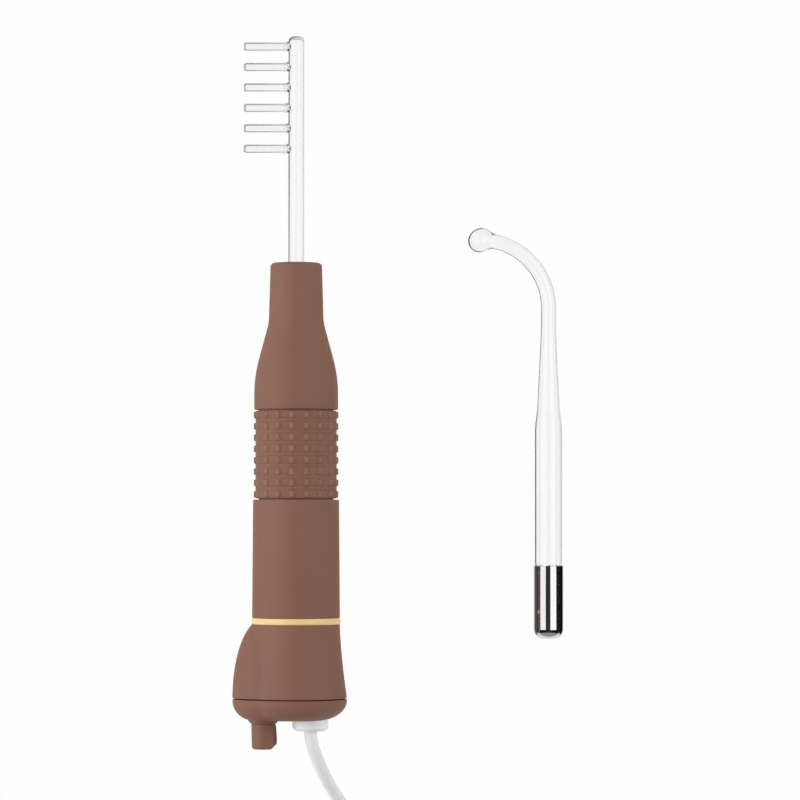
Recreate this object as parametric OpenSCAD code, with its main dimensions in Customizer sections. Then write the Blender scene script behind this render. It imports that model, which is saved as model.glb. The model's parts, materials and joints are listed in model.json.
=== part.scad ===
// Hand-held violet ray wand with a comb electrode in its nose and a bent point electrode beside it.
// Millimetres. The wand lies on a table: +Y runs from its cord end to its electrode, +Z is up.

/* [End cap and base] */
// Height of the rounded end cap, up to the seam
cap_h = 8.8; // [7.5:0.1:12]
// Rounding of the end cap on the dial's side
cap_round = 8; // [4:0.5:8]
// Added width of that rounding on the other side
cap_round_more = 3; // [0:0.5:4]
// Thickness of the end cap's floor
cap_floor = 2.2; // [1.6:0.1:3]
// Open line at the seam between the end cap and the base
seam_gap = 0.4; // [0.2:0.05:0.6]
// Height of the flared base, from the seam to the trim ring
base_h = 29.4; // [24:0.2:40]
// Radius of the base at the seam
base_r = 20.4; // [19.5:0.1:23]
// Reach of the dial pod from the handle's axis
pod_reach = 25.4; // [24:0.1:28]
// Distance from the handle's axis to the centre of the pod's curve
pod_x = 10.6; // [9.6:0.1:13]
// Distance from the handle's axis to the dial's axis
dial_x = 13; // [11.6:0.1:13.4]
// Width of the soft blend between pod and base
pod_blend = 1; // [0.8:0.1:4]
// How far over the base the pod's curve would close
pod_over = 1.8; // [1:0.1:6]

/* [Barrel] */
// Height of the trim ring
ring_h = 2.6; // [1.6:0.1:5]
// How far the trim ring stands proud of the barrel
ring_proud = 0.25; // [0.1:0.05:0.8]
// Length of the smooth barrel
barrel_len = 47.2; // [40:0.2:70]
// Radius of the barrel at the trim ring
barrel_low_r = 17.55; // [17:0.05:18.5]
// Radius of the barrel at the grip
barrel_top_r = 17.2; // [16.8:0.05:18]
// Wall of the barrel and of its spigot
shell_wall = 2; // [1.4:0.1:2.4]
// Thickness of the barrel's tail, which the trim ring and the base sit on
tail_wall = 1.1; // [0.8:0.1:1.2]
// Depth of the tail in the base
tail_h = 5; // [3:0.5:8]

/* [Grip] */
// Length of the grip
grip_len = 36; // [30:0.5:60]
// Radius of the sleeve between its nubs
grip_r = 16.25; // [15.8:0.05:16.6]
// Thickness of the sleeve
sleeve_t = 1.3; // [0.9:0.1:1.8]
// Open groove at each end of the sleeve
grip_groove = 0.5; // [0.3:0.1:1]
// Rows of nubs along the grip
nub_rows = 8; // [4:1:12]
// Distance from one row to the next
nub_pitch = 4.52; // [3:0.02:6]
// Nubs round the sleeve
nub_columns = 18; // [10:1:24]
// Length of a nub along the handle
nub_l = 2.4; // [1.6:0.1:2.9]
// Width of a nub round the handle
nub_w = 2.5; // [1.5:0.1:3.5]
// How far a nub stands out
nub_h = 0.55; // [0.3:0.05:0.9]

/* [Nose] */
// Length of the nose, from the grip to the mouth
nose_len = 58.8; // [54:0.2:72]
// Radius of the nose at the grip
shoulder_r = 16.8; // [16.4:0.05:17.4]
// Straight part of the nose above the grip
skirt_h = 6; // [3:0.5:9]
// Radius of the shoulder's outward curve, seen from the side
shoulder_arc = 55; // [40:1:65]
// Radius of the curve from shoulder to neck, seen from the side
neck_arc = 20; // [12:1:30]
// Slope of the shoulder's straight part, in degrees
shoulder_slope = 15; // [13:0.5:18]
// Radius of the neck at its foot
neck_r = 10.9; // [10.6:0.05:11.6]
// Radius of the mouth
mouth_r = 10.35; // [10.1:0.05:10.6]
// Corner radius round the mouth
mouth_round = 1.6; // [0.6:0.1:2.2]
// Thickness of the lip that keeps the socket tube in
lip_t = 2.2; // [1.6:0.1:3]
// Height of the chamber over the grip's end, for the socket's flange
chamber_h = 17; // [14:0.5:19]
// How far the spigot goes into the nose
spigot_h = 8; // [5:0.5:11]

/* [Electrode base] */
// Radius of an electrode's metal cap
plug_cap_r = 6; // [5.6:0.05:6.2]
// Length of an electrode's metal cap
plug_cap_len = 29.6; // [24:0.2:32]
// Corner radius at the cap's end
plug_cap_round = 4; // [2.5:0.5:4.5]
// Wall of the metal cap
plug_cap_wall = 0.45; // [0.3:0.05:0.6]
// Wall of the glass
glass_wall = 1; // [0.7:0.05:1.2]
// Depth of the cap's end below the mouth
seat_depth = 34.7; // [34:0.1:36]
// Radial play between cap and socket
socket_play = 0.3; // [0.25:0.05:0.4]
// Wall of the socket tube
socket_wall = 1.9; // [1.7:0.05:2]
// Thickness of the socket's flange
flange_t = 2.5; // [2:0.1:4]
// Depth of the retaining ring below the mouth
grip_ring_depth = 14; // [12:0.5:20]
// Radius of the retaining ring's section
grip_ring_section = 0.75; // [0.65:0.05:0.8]

/* [Comb electrode] */
// Radius of the comb's tube
comb_r = 3.25; // [2.8:0.05:3.8]
// Length of the comb's tube out of the mouth
comb_out = 91; // [84:0.2:120]
// Number of teeth
teeth = 6; // [4:1:7]
// Distance from one tooth to the next
tooth_pitch = 8.22; // [7.6:0.02:9]
// Distance from the tube's end to the first tooth
tooth_first = 4; // [3:0.1:6]
// Radius of a tooth
tooth_r = 1.75; // [1.4:0.05:1.9]
// Reach of the teeth from the tube's axis
tooth_reach = 21.1; // [16:0.1:24]
// Radius of the fused collar at a tooth's foot
collar_r = 2.1; // [1.9:0.05:2.3]
// Length of that collar outside the tube
collar_l = 1.7; // [1:0.1:3]
// Wall of a tooth
tooth_wall = 0.6; // [0.4:0.05:0.8]

/* [Bent electrode] */
// Height of the wide stem's end
stem_end = 83.2; // [70:0.2:90]
// Length of the shoulder over the wide stem
stem_shoulder = 12; // [8:0.5:16]
// Radius at the shoulder's end
taper_r = 4.5; // [4:0.05:5]
// Length of the taper
taper_len = 29.2; // [20:0.2:40]
// Radius of the thin tube
point_r = 3.05; // [2.6:0.05:3.4]
// Straight part of the thin tube below the bend
point_straight = 9; // [4:0.5:20]
// Radius of the bend
bend_r = 27.3; // [20:0.1:34]
// Radius of the ball
ball_r = 5.2; // [4.4:0.1:6]
// Distance between the two axes on the table
axis_gap = 101.4; // [90:0.2:130]
// How far the bent electrode lies up from the end cap
spare_up = 31.6; // [10:0.2:60]

/* [Dial] */
// Length of the knob
knob_len = 10; // [7:0.1:14]
// Radius of the knob at the collar
knob_r = 4.85; // [4.4:0.05:5.2]
// Radius of the knob at its end
knob_end_r = 4.6; // [4.2:0.05:5]
// How far the pointer rib stands out
rib_out = 0.8; // [0.4:0.1:1.2]
// Width of the pointer rib
rib_w = 2; // [1.2:0.1:3]
// Height of the collar under the knob
collar_h = 1.3; // [0.8:0.1:2]
// Radius of the collar at the end cap
collar_foot_r = 6.2; // [5.6:0.1:6.6]
// Radius of the collar at the knob
collar_top_r = 5.4; // [5:0.1:5.6]
// Gap between collar and knob
knob_gap = 0.3; // [0.2:0.05:0.5]
// Radius of the dial's shaft
shaft_r = 3; // [2.5:0.1:3.1]
// Radius of the potentiometer's case
pot_r = 8; // [7:0.1:8.4]
// Height of the potentiometer's case
pot_h = 7; // [6:0.1:9]

/* [Cord] */
// Radius of the cord
cord_r = 2.6; // [2.2:0.05:2.7]
// Radius of the gland's collar
gland_r = 7.2; // [6.6:0.1:7.4]
// Height of the gland's collar
gland_h = 4.3; // [3:0.1:6]
// Distance from the handle's axis to the gland's axis
gland_x = 5.8; // [5:0.1:6]
// Radius of the coil's innermost turn
coil_in_r = 21.5; // [21:0.1:24]
// Distance from one turn of the coil to the next
coil_pitch = 5.75; // [5.7:0.05:6.2]
// Turns of the coil in each of its two layers
coil_turns = 3.46; // [3.3:0.01:3.5]
// Thickness of the tie round the coil
tie_t = 0.9; // [0.6:0.1:1.2]
// Width of the tie
tie_w = 9; // [6:0.5:14]

/* [Plug] */
// Width of the plug at its face
plug_w = 35.3; // [34:0.1:36]
// Thickness of the plug
plug_t = 13.7; // [13:0.1:14]
// Length of the plug's body
plug_l = 26; // [22:0.5:30]
// Length of the plug's tapered strain relief
relief_l = 21; // [20:0.5:30]
// Radius of a plug pin
pin_r = 2; // [1.9:0.05:2.4]
// Length of a plug pin
pin_l = 19; // [17:0.5:20]
// Distance between the pins
pin_gap = 19; // [17:0.1:20]

/* [Inside] */
// Thickness of the circuit board
board_t = 1.6; // [1:0.1:2]
// Length of the circuit board
board_len = 58; // [54:0.5:64]
// Radius of the ferrite core
core_r = 4; // [3:0.1:4.6]
// Wall of the bobbin's tube
bobbin_wall = 1.8; // [1.2:0.1:2.4]
// Thickness of a bobbin flange
bobbin_flange = 1.2; // [0.8:0.1:1.6]
// Sections wound on the bobbin
bobbin_sections = 6; // [3:1:8]

/* [Hidden] */
$fn = 96;

// Colours
brown = "#8c6656";
soft_brown = "#87614f";
gold = "#d9b763";
white = "#dddbe0";
cord_white = "#e4e4e6";
chrome = "#c9cbd0";
glass = "#dfe8ea";
brass = "#c8a24a";
copper = "#b5683a";

// Clearances
fit = 0.1;
running_fit = 0.05;
seat = 0.3;
cement = 0.05;
edge = 0.4;

// Stations along the handle, from the end cap's flat end
seam_a = cap_h;
ring_a = seam_a + base_h;
barrel_a = ring_a + ring_h;
grip_a = barrel_a + barrel_len;
nose_a = grip_a + grip_len;
mouth_a = nose_a + nose_len;
electrode_a = mouth_a - seat_depth;
comb_top_a = mouth_a + comb_out;
knob_a = -collar_h - knob_gap;
knob_end_a = knob_a - knob_len;

// Radii inside the handle
bore_r = min(barrel_low_r, barrel_top_r) - shell_wall;
tail_r = bore_r + tail_wall;
spigot_r = grip_r - sleeve_t;
room_r = spigot_r - shell_wall;
step_a = grip_a - shell_wall - edge;
pod_r = pod_reach - pod_x;
pod_play = 1;
lead_room = 14.6;
pod_room_r = pot_r + pod_play;
pod_room_h = cap_floor + pot_h + lead_room - seam_a;

// Socket and electrode base
socket_r = plug_cap_r + socket_play;
tube_r = socket_r + socket_wall;
lip_r = socket_r + fit;
chamber_a = nose_a + chamber_h;
leaf_h = 1.6;
leaf_t = 0.4;
socket_floor_a = electrode_a - seat - leaf_h;
stud_r = 1.5;
base_glass_r = plug_cap_r - plug_cap_wall - cement;

// How the wand and the bent electrode lie: both rest on two places
wand_tilt = asin((base_r - shoulder_r) / (nose_a + skirt_h - seam_a));
wand_span = pod_reach + axis_gap + plug_cap_r;
wand_x = pod_reach - wand_span / 2;
wand_y = -((comb_top_a + knob_end_a) / 2 - seam_a) * cos(wand_tilt);
wand_z = base_r * cos(wand_tilt);
spare_x = wand_x + axis_gap;
spare_y = wand_y + spare_up - seam_a + plug_cap_len;
bend_a = stem_end + stem_shoulder + taper_len + point_straight;
ball_a = bend_a + bend_r;
spare_tilt = asin((plug_cap_r - ball_r) / (ball_a - plug_cap_len));
spare_z = plug_cap_r * cos(spare_tilt);

// A point of the wand, given across, down and along its axis, in the part's frame
function wand_point(p) = [
    wand_x + p.x,
    wand_y + (p.z - seam_a) * cos(wand_tilt) - p.y * sin(wand_tilt),
    wand_z - (p.z - seam_a) * sin(wand_tilt) - p.y * cos(wand_tilt),
];

// The same for the bent electrode
function spare_point(p) = [
    spare_x + p.x,
    spare_y + (p.z - plug_cap_len) * cos(spare_tilt) - p.y * sin(spare_tilt),
    spare_z - (p.z - plug_cap_len) * sin(spare_tilt) - p.y * cos(spare_tilt),
];

module on_wand() {
    translate([wand_x, wand_y, wand_z])
        rotate([-90 - wand_tilt, 0, 0])
            translate([0, 0, -seam_a])
                children();
}

module on_spare() {
    translate([spare_x, spare_y, spare_z])
        rotate([-90 - spare_tilt, 0, 0])
            translate([0, 0, -plug_cap_len])
                children();
}

// Points on an arc in the plane of a profile
function arc(c, r, from, to, steps) = [
    for (i = [0:steps]) let (t = from + (to - from) * i / steps) c + r * [cos(t), sin(t)]
];

function unit(v) = v / norm(v);

// Cord: the coil lies past the cord's end of the wand, and its plug beside it
coil_centre = [-43.3, -214];
coil_from = 30;
coil_steps = 24;
coil_low_z = tie_t + seat + cord_r;
coil_out_r = coil_in_r + coil_pitch * coil_turns;
coil_count = round(2 * coil_turns * coil_steps);
plug_at = [3.7, -187, plug_t / 2];

// Height of the coil's path: it climbs a layer in the half turn where the spiral reverses
function climb(t) = let (s = min(max((t - coil_turns) * 2 + 0.5, 0), 1)) s * s * (3 - 2 * s);

// The coil's path after a number of turns, clockwise seen from above
function coil_point(t) =
    let (r = coil_in_r + coil_pitch * abs(t - coil_turns), turn = coil_from - 360 * t)
    [coil_centre.x + r * cos(turn), coil_centre.y + r * sin(turn), coil_low_z + coil_pitch * climb(t)];

coil_turn_end = coil_count / coil_steps;
coil_start = coil_point(0);
coil_start_dir = [sin(coil_from), -cos(coil_from), 0];
coil_end_angle = coil_from - 360 * coil_turn_end;
coil_end_dir = [sin(coil_end_angle), -cos(coil_end_angle), 0];
coil_end = coil_point(coil_turn_end);
coil_enter = coil_start - 2 * cord_r * coil_start_dir;
coil_leave = coil_end + 2 * cord_r * coil_end_dir;
coil_path = concat(
    [coil_enter],
    [for (i = [0:coil_count]) coil_point(i / coil_steps)],
    [coil_leave]
);

gland_flange_t = 1.5;
gland_in_a = cap_floor + gland_flange_t;
gland_out_a = -gland_h;
cord_exit = wand_point([gland_x, 0, gland_out_a]);
cord_run_path = concat(
    [wand_point([gland_x, 0, gland_in_a]), cord_exit],
    [
        [-34.4, -141, 20.6],
        [-33.2, -145, 19.7],
        [-31.5, -149.5, 18.1],
        [-29.5, -154, 15.9],
        [-27.2, -158.5, 13.3],
        [-24.6, -163, 10.5],
        [-21.7, -168, 7.5],
        [-18.6, -173.2, 5.1],
        [-15.5, -179, 4],
    ],
    [coil_enter - 2 * cord_r * coil_start_dir, coil_enter]
);
cord_tail_path = concat(
    [coil_leave, coil_leave + 2 * cord_r * coil_end_dir],
    [
        [-7.5, -186.1, 8.1],
    ],
    [plug_at - [2 * cord_r, 0, 0], plug_at]
);

// Distance from one turn of the coil to the next, skin to skin
coil_gap = min([
    for (i = [0:len(coil_path) - 1], j = [i + coil_steps / 2:1:len(coil_path) - 1])
        norm(coil_path[i] - coil_path[j])
]) - 2 * cord_r;
function path_length(p) = len(p) < 2 ? 0 : sum([for (i = [1:len(p) - 1]) norm(p[i] - p[i - 1])]);
function sum(v, i = 0) = i >= len(v) ? 0 : v[i] + sum(v, i + 1);
cord_length = path_length(cord_run_path) + path_length(coil_path) + path_length(cord_tail_path);
echo(coil_gap = coil_gap, cord_length = cord_length);

// A tube of flat sides swept along points
module tube(path, r, sides) {
    last = len(path) - 1;
    function along(i) = unit(path[min(i + 1, last)] - path[max(i - 1, 0)]);
    points = [
        for (i = [0:last])
            let (d = along(i), across = unit(cross(d, [0, 0, 1])), up = cross(across, d))
            for (k = [0:sides - 1])
                path[i] + r * (cos(360 * k / sides) * across + sin(360 * k / sides) * up)
    ];
    function at(i, k) = i * sides + k % sides;
    walls = [
        for (i = [0:last - 1], k = [0:sides - 1])
            each [
                [at(i, k), at(i, k + 1), at(i + 1, k + 1)],
                [at(i, k), at(i + 1, k + 1), at(i + 1, k)],
            ]
    ];
    ends = [
        for (k = [1:sides - 2])
            each [[at(0, 0), at(0, k + 1), at(0, k)], [at(last, 0), at(last, k), at(last, k + 1)]]
    ];
    polyhedron(points, concat(walls, ends));
}

// A closed solid through rings of points that all run the same way round
module loft(rings) {
    n = len(rings[0]);
    last = len(rings) - 1;
    foot = [0, 0, rings[0][0].z];
    top = [0, 0, rings[last][0].z];
    function at(i, k) = i * n + k % n;
    points = concat([for (ring = rings) each ring], [foot, top]);
    walls = [
        for (i = [0:last - 1], k = [0:n - 1])
            each [
                [at(i, k), at(i + 1, k), at(i + 1, k + 1)],
                [at(i, k), at(i + 1, k + 1), at(i, k + 1)],
            ]
    ];
    ends = [
        for (k = [0:n - 1])
            each [
                [(last + 1) * n, at(0, k), at(0, k + 1)],
                [(last + 1) * n + 1, at(last, k + 1), at(last, k)],
            ]
    ];
    polyhedron(points, concat(walls, ends));
}

// Outline of the base: a round flare and the dial's pod, with a soft blend between them
section_steps = 72;
flare_power = 1.5;
function closing(h) = 1 - sqrt(1 - pow(h / (base_h + pod_over), 2));
function flare_r(h) = barrel_low_r + (base_r - barrel_low_r) * pow(1 - h / base_h, flare_power);
function pod_r_at(h) = pod_r - (pod_reach - barrel_low_r) * closing(h) / closing(base_h);
function pod_ray(turn, r) =
    let (s = r * r - pow(pod_x * sin(turn), 2))
    s < 0 || cos(turn) > 0 ? 0 : sqrt(s) - pod_x * cos(turn);
function soft_max(a, b) =
    let (near = max(pod_blend - abs(a - b), 0) / pod_blend) max(a, b) + near * near * pod_blend / 4;
function outline_r(turn, h) =
    let (round_r = flare_r(h), pod = pod_ray(turn, pod_r_at(h)))
    pod > 0 ? min(soft_max(round_r, pod), max(round_r, pod_reach)) : round_r;
function cap_corner(turn) = cap_round + cap_round_more * (1 + cos(turn)) / 2;
function outline(h, inset, a) = [
    for (k = [0:section_steps - 1])
        let (turn = 360 * k / section_steps, r = outline_r(turn, h) - inset * cap_corner(turn))
        [r * cos(turn), r * sin(turn), a]
];

module base_housing() {
    rings = 18;
    color(brown)
        on_wand()
            difference() {
                loft([for (i = [0:rings]) let (h = base_h * i / rings) outline(h, 0, seam_a + h)]);
                translate([0, 0, seam_a - 1])
                    cylinder(r = bore_r, h = base_h + 2);
                translate([0, 0, ring_a - tail_h - fit])
                    cylinder(r = tail_r + fit, h = tail_h + 1);
                translate([-dial_x, 0, seam_a - 1])
                    cylinder(r = pod_room_r, h = pod_room_h + 1);
            }
}

module end_cap() {
    rings = 7;
    top = cap_h - seam_gap;
    corner = min(cap_round, top - edge);
    lip = 3;
    lip_wall = 1.2;
    color(brown)
        on_wand() {
            difference() {
                union() {
                    loft(concat(
                        [
                            for (i = [0:rings])
                                let (t = 90 * i / rings)
                                outline(0, 1 - sin(t), corner * (1 - cos(t)))
                        ],
                        [outline(0, 0, top)]
                    ));
                    translate([-dial_x, 0, -collar_h])
                        cylinder(r1 = collar_top_r, r2 = collar_foot_r, h = collar_h + edge);
                }
                translate([0, 0, cap_floor])
                    cylinder(r = bore_r, h = cap_h);
                translate([-dial_x, 0, cap_floor])
                    cylinder(r = pod_room_r, h = cap_h);
                translate([-dial_x, 0, -collar_h - 1])
                    cylinder(r = bush_r + fit, h = cap_h);
                translate([gland_x, 0, -1])
                    cylinder(r = gland_neck_r + fit, h = cap_h);
                translate([gland_x, 0, -1])
                    cylinder(r = gland_r + fit, h = 1 + gland_sink);
            }
            difference() {
                translate([0, 0, cap_floor])
                    cylinder(r = bore_r - fit, h = top - cap_floor + lip);
                translate([0, 0, cap_floor - 1])
                    cylinder(r = bore_r - fit - lip_wall, h = cap_h + lip);
                translate([-dial_x, 0, cap_floor - 1])
                    cylinder(r = pod_room_r, h = cap_h + lip);
            }
        }
}

module trim_ring() {
    ring_r = barrel_low_r + ring_proud;
    soft = 0.6;
    color(gold)
        on_wand()
            translate([0, 0, ring_a])
                rotate_extrude()
                    polygon(concat(
                        [[tail_r + fit, 0]],
                        arc([ring_r - soft, soft], soft, -90, 0, 4),
                        arc([ring_r - soft, ring_h - soft], soft, 0, 90, 4),
                        [[tail_r + fit, ring_h]]
                    ));
}

module barrel_shell() {
    color(brown)
        on_wand()
            rotate_extrude()
                polygon([
                    [bore_r, ring_a - tail_h],
                    [tail_r, ring_a - tail_h],
                    [tail_r, barrel_a],
                    [barrel_low_r - edge, barrel_a],
                    [barrel_low_r, barrel_a + edge],
                    [barrel_top_r, grip_a - edge],
                    [barrel_top_r - edge, grip_a],
                    [spigot_r, grip_a],
                    [spigot_r, nose_a + spigot_h - edge],
                    [spigot_r - edge, nose_a + spigot_h],
                    [room_r, nose_a + spigot_h],
                    [room_r, step_a],
                    [bore_r, step_a],
                ]);
}

module nub_rings() {
    soft = 0.9 * nub_h;
    foot_r = grip_r - edge;
    for (i = [0:nub_rows - 1])
        translate([0, 0, (grip_a + nose_a) / 2 + (i - (nub_rows - 1) / 2) * nub_pitch - nub_l / 2])
            rotate_extrude()
                polygon(concat(
                    [[foot_r, 0], [grip_r, 0]],
                    arc([grip_r + nub_h - soft, soft], soft, -75, 0, 3),
                    arc([grip_r + nub_h - soft, nub_l - soft], soft, 0, 75, 3),
                    [[grip_r, nub_l], [foot_r, nub_l]]
                ));
}

module grip_sleeve() {
    length = grip_len - 2 * grip_groove;
    first = -94;
    turn = 360 / nub_columns;
    channel = 2 * (grip_r * sin(turn / 2) - nub_w / 2);
    cut = sleeve_t + 2 * nub_h;
    color(soft_brown)
        on_wand() {
            translate([0, 0, grip_a + grip_groove])
                difference() {
                    cylinder(r = grip_r, h = length);
                    translate([0, 0, -1])
                        cylinder(r = spigot_r + fit, h = length + 2);
                }
            difference() {
                nub_rings();
                for (i = [0:nub_columns - 1])
                    rotate([0, 0, first + (i + 0.5) * turn])
                        translate([grip_r - sleeve_t, -channel / 2, grip_a])
                            cube([cut, channel, grip_len]);
            }
        }
}

// Outer line of the nose from the grip to the mouth
slope_foot = [
    shoulder_r - shoulder_arc * (1 - cos(shoulder_slope)),
    nose_a + skirt_h + shoulder_arc * sin(shoulder_slope),
];
slope_len = (slope_foot.x - neck_r - neck_arc * (1 - cos(shoulder_slope))) / sin(shoulder_slope);
slope_top = slope_foot + slope_len * [-sin(shoulder_slope), cos(shoulder_slope)];
neck_centre = slope_top + neck_arc * [cos(shoulder_slope), sin(shoulder_slope)];
neck_taper = atan((neck_r - mouth_r) / (mouth_a - mouth_round - neck_centre.y));
nose_line = concat(
    [[shoulder_r - edge, nose_a], [shoulder_r, nose_a + edge]],
    arc([shoulder_r - shoulder_arc, nose_a + skirt_h], shoulder_arc, 0, shoulder_slope, 8),
    arc(neck_centre, neck_arc, 180 + shoulder_slope, 180 + neck_taper, 5),
    arc([mouth_r - mouth_round, mouth_a - mouth_round], mouth_round, 0, 90, 6)
);

module nose_cone() {
    color(brown)
        on_wand()
            rotate_extrude()
                polygon(concat(
                    nose_line,
                    [
                        [lip_r, mouth_a],
                        [lip_r, mouth_a - lip_t],
                        [tube_r + fit, mouth_a - lip_t],
                        [tube_r + fit, chamber_a],
                        [room_r, chamber_a],
                        [room_r, nose_a + spigot_h + fit],
                        [spigot_r + fit, nose_a + spigot_h + fit],
                        [spigot_r + fit, nose_a],
                    ]
                ));
}

// Groove in the socket tube for the retaining ring
grip_ring_gap = 0.1;
groove_r = plug_cap_r + grip_ring_gap + 2 * grip_ring_section + running_fit;
grip_ring_a = mouth_a - grip_ring_depth;

module socket_tube() {
    groove_h = 2 * grip_ring_section + 4 * running_fit;
    color(white)
        on_wand()
            rotate_extrude()
                polygon([
                    [stud_r + fit, chamber_a - flange_t],
                    [room_r - fit, chamber_a - flange_t],
                    [room_r - fit, chamber_a],
                    [tube_r, chamber_a],
                    [tube_r, mouth_a - lip_t],
                    [socket_r, mouth_a - lip_t],
                    [socket_r, grip_ring_a + groove_h / 2],
                    [groove_r, grip_ring_a + groove_h / 2],
                    [groove_r, grip_ring_a - groove_h / 2],
                    [socket_r, grip_ring_a - groove_h / 2],
                    [socket_r, socket_floor_a],
                    [stud_r + fit, socket_floor_a],
                ]);
}

module retaining_ring() {
    color("#3b3b3d")
        on_wand()
            translate([0, 0, grip_ring_a])
                rotate_extrude()
                    translate([plug_cap_r + grip_ring_gap + grip_ring_section, 0])
                        circle(r = grip_ring_section);
}

// Dished spring disc under the electrode's cap, held by the stud
module contact_leaf() {
    rim_r = socket_r - seat;
    crown_w = 1.2;
    crown_r = stud_r + crown_w;
    color(brass)
        on_wand()
            translate([0, 0, socket_floor_a])
                rotate_extrude()
                    polygon([
                        [stud_r + fit, leaf_h - leaf_t],
                        [crown_r, leaf_h - leaf_t],
                        [rim_r - leaf_t, 0],
                        [rim_r, 0],
                        [crown_r + leaf_t, leaf_h],
                        [stud_r + fit, leaf_h],
                    ]);
}

module contact_stud() {
    head_a = chamber_a - flange_t - stud_head_h;
    color(brass)
        on_wand()
            translate([0, 0, head_a]) {
                cylinder(r = stud_r, h = socket_floor_a + leaf_h - head_a);
                cylinder(r = stud_head_r, h = stud_head_h);
            }
}

// Rivet head of the contact stud, in a recess at the bobbin's end
stud_head_r = 3;
stud_head_h = 1;

// High-voltage coil between the barrel's step and the socket's flange
stud_room_h = 3;
core_stop = 1;
winding_sunk = 1.4;
bobbin_r = room_r - seat;
mandrel_r = core_r + running_fit + bobbin_wall;
bobbin_len = chamber_a - flange_t - step_a;
section_len = (bobbin_len - bobbin_flange) / bobbin_sections;
winding_r = bobbin_r - winding_sunk;

module coil_bobbin() {
    color("#d8cfae")
        on_wand()
            translate([0, 0, step_a])
                difference() {
                    union() {
                        cylinder(r = mandrel_r, h = bobbin_len);
                        for (i = [0:bobbin_sections])
                            translate([0, 0, i * section_len])
                                cylinder(r = bobbin_r, h = bobbin_flange);
                    }
                    translate([0, 0, -1])
                        cylinder(r = core_r + running_fit, h = bobbin_len - stud_room_h - core_stop + 1);
                    translate([0, 0, bobbin_len - stud_room_h])
                        cylinder(r = stud_head_r + seat, h = stud_room_h + 1);
                }
}

module winding(section) {
    on_wand()
        translate([0, 0, step_a + section * section_len + bobbin_flange])
            difference() {
                cylinder(r = winding_r, h = section_len - bobbin_flange);
                translate([0, 0, -1])
                    cylinder(r = mandrel_r + running_fit, h = section_len);
            }
}

module primary_winding() {
    color(copper)
        winding(0);
}

module secondary_winding() {
    color("#9c4a2a")
        for (i = [1:bobbin_sections - 1])
            winding(i);
}

module ferrite_core() {
    color("#4a4b50")
        on_wand()
            translate([0, 0, step_a])
                cylinder(r = core_r, h = bobbin_len - stud_room_h - core_stop - seat);
}

// Circuit board across the barrel's bore, under the step
board_w = 2 * sqrt(pow(bore_r - seat, 2) - pow(board_t / 2, 2));
board_top = step_a - seat;
board_foot = board_top - board_len;

// Parts on the board: width across it, height off it and length along it
film_size = [17, 9, 8];
rectifier_size = [10, 4, 9];
transistor_size = [10, 4.4, 15];
can_r = 5;
can_len = 17;
sink_size = [18, 5.6, 21];

// How far the parts lie up from the board's foot, and beside its middle
film_up = 16;
upper_row = 30;
transistor_up = 25;
rectifier_x = -7;
can_x = 6.5;

module board_part(size, x, up, side) {
    on_wand()
        translate([x - size.x / 2, side > 0 ? board_t / 2 : -board_t / 2 - size.y, board_foot + up])
            cube(size);
}

module circuit_board() {
    color("#2f6b45")
        on_wand()
            translate([-board_w / 2, -board_t / 2, board_foot])
                cube([board_w, board_t, board_len]);
}

module film_capacitor() {
    color("#b5352c")
        board_part(film_size, 0, film_up, -1);
}

module smoothing_capacitor() {
    color("#2b3a5c")
        on_wand()
            translate([can_x, -board_t / 2 - can_r, board_foot + upper_row])
                cylinder(r = can_r, h = can_len);
}

module rectifier() {
    color("#26262a")
        board_part(rectifier_size, rectifier_x, upper_row, -1);
}

// The transistor lies on the board's back, with its heat sink on it
module power_transistor() {
    color("#2a2a2d")
        board_part(transistor_size, 0, transistor_up, 1);
}

module heat_sink() {
    plate = 2;
    fin_t = 1.4;
    fins = 5;
    sink_up = transistor_up + (transistor_size.z - sink_size.z) / 2;
    color("#a9abb0")
        on_wand()
            translate([-sink_size.x / 2, board_t / 2 + transistor_size.y, board_foot + sink_up])
                linear_extrude(sink_size.z)
                    union() {
                        square([sink_size.x, plate]);
                        for (i = [0:fins - 1])
                            translate([i * (sink_size.x - fin_t) / (fins - 1), 0])
                                square([fin_t, sink_size.y]);
                    }
}

// Potentiometer on the end cap's floor, with its bush through the collar
bush_wall = 0.6;
bush_r = shaft_r + bush_wall;
pot_wall = 1;
wiper_t = 1.6;
wiper_a = cap_floor + pot_wall + seat;
shaft_in_knob = 7;

module pot_case() {
    color("#5d6672")
        on_wand()
            translate([-dial_x, 0, 0])
                rotate_extrude()
                    polygon([
                        [shaft_r + running_fit, -collar_h],
                        [bush_r, -collar_h],
                        [bush_r, cap_floor],
                        [pot_r, cap_floor],
                        [pot_r, cap_floor + pot_h],
                        [0, cap_floor + pot_h],
                        [0, cap_floor + pot_h - pot_wall],
                        [pot_r - pot_wall, cap_floor + pot_h - pot_wall],
                        [pot_r - pot_wall, cap_floor + pot_wall],
                        [shaft_r + running_fit, cap_floor + pot_wall],
                    ]);
}

module pot_rotor() {
    color(chrome)
        on_wand()
            translate([-dial_x, 0, 0]) {
                translate([0, 0, knob_a - shaft_in_knob])
                    cylinder(r = shaft_r, h = wiper_a + wiper_t - knob_a + shaft_in_knob);
                translate([0, 0, wiper_a])
                    cylinder(r = pot_r - pot_wall - seat, h = wiper_t);
            }
}

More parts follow.
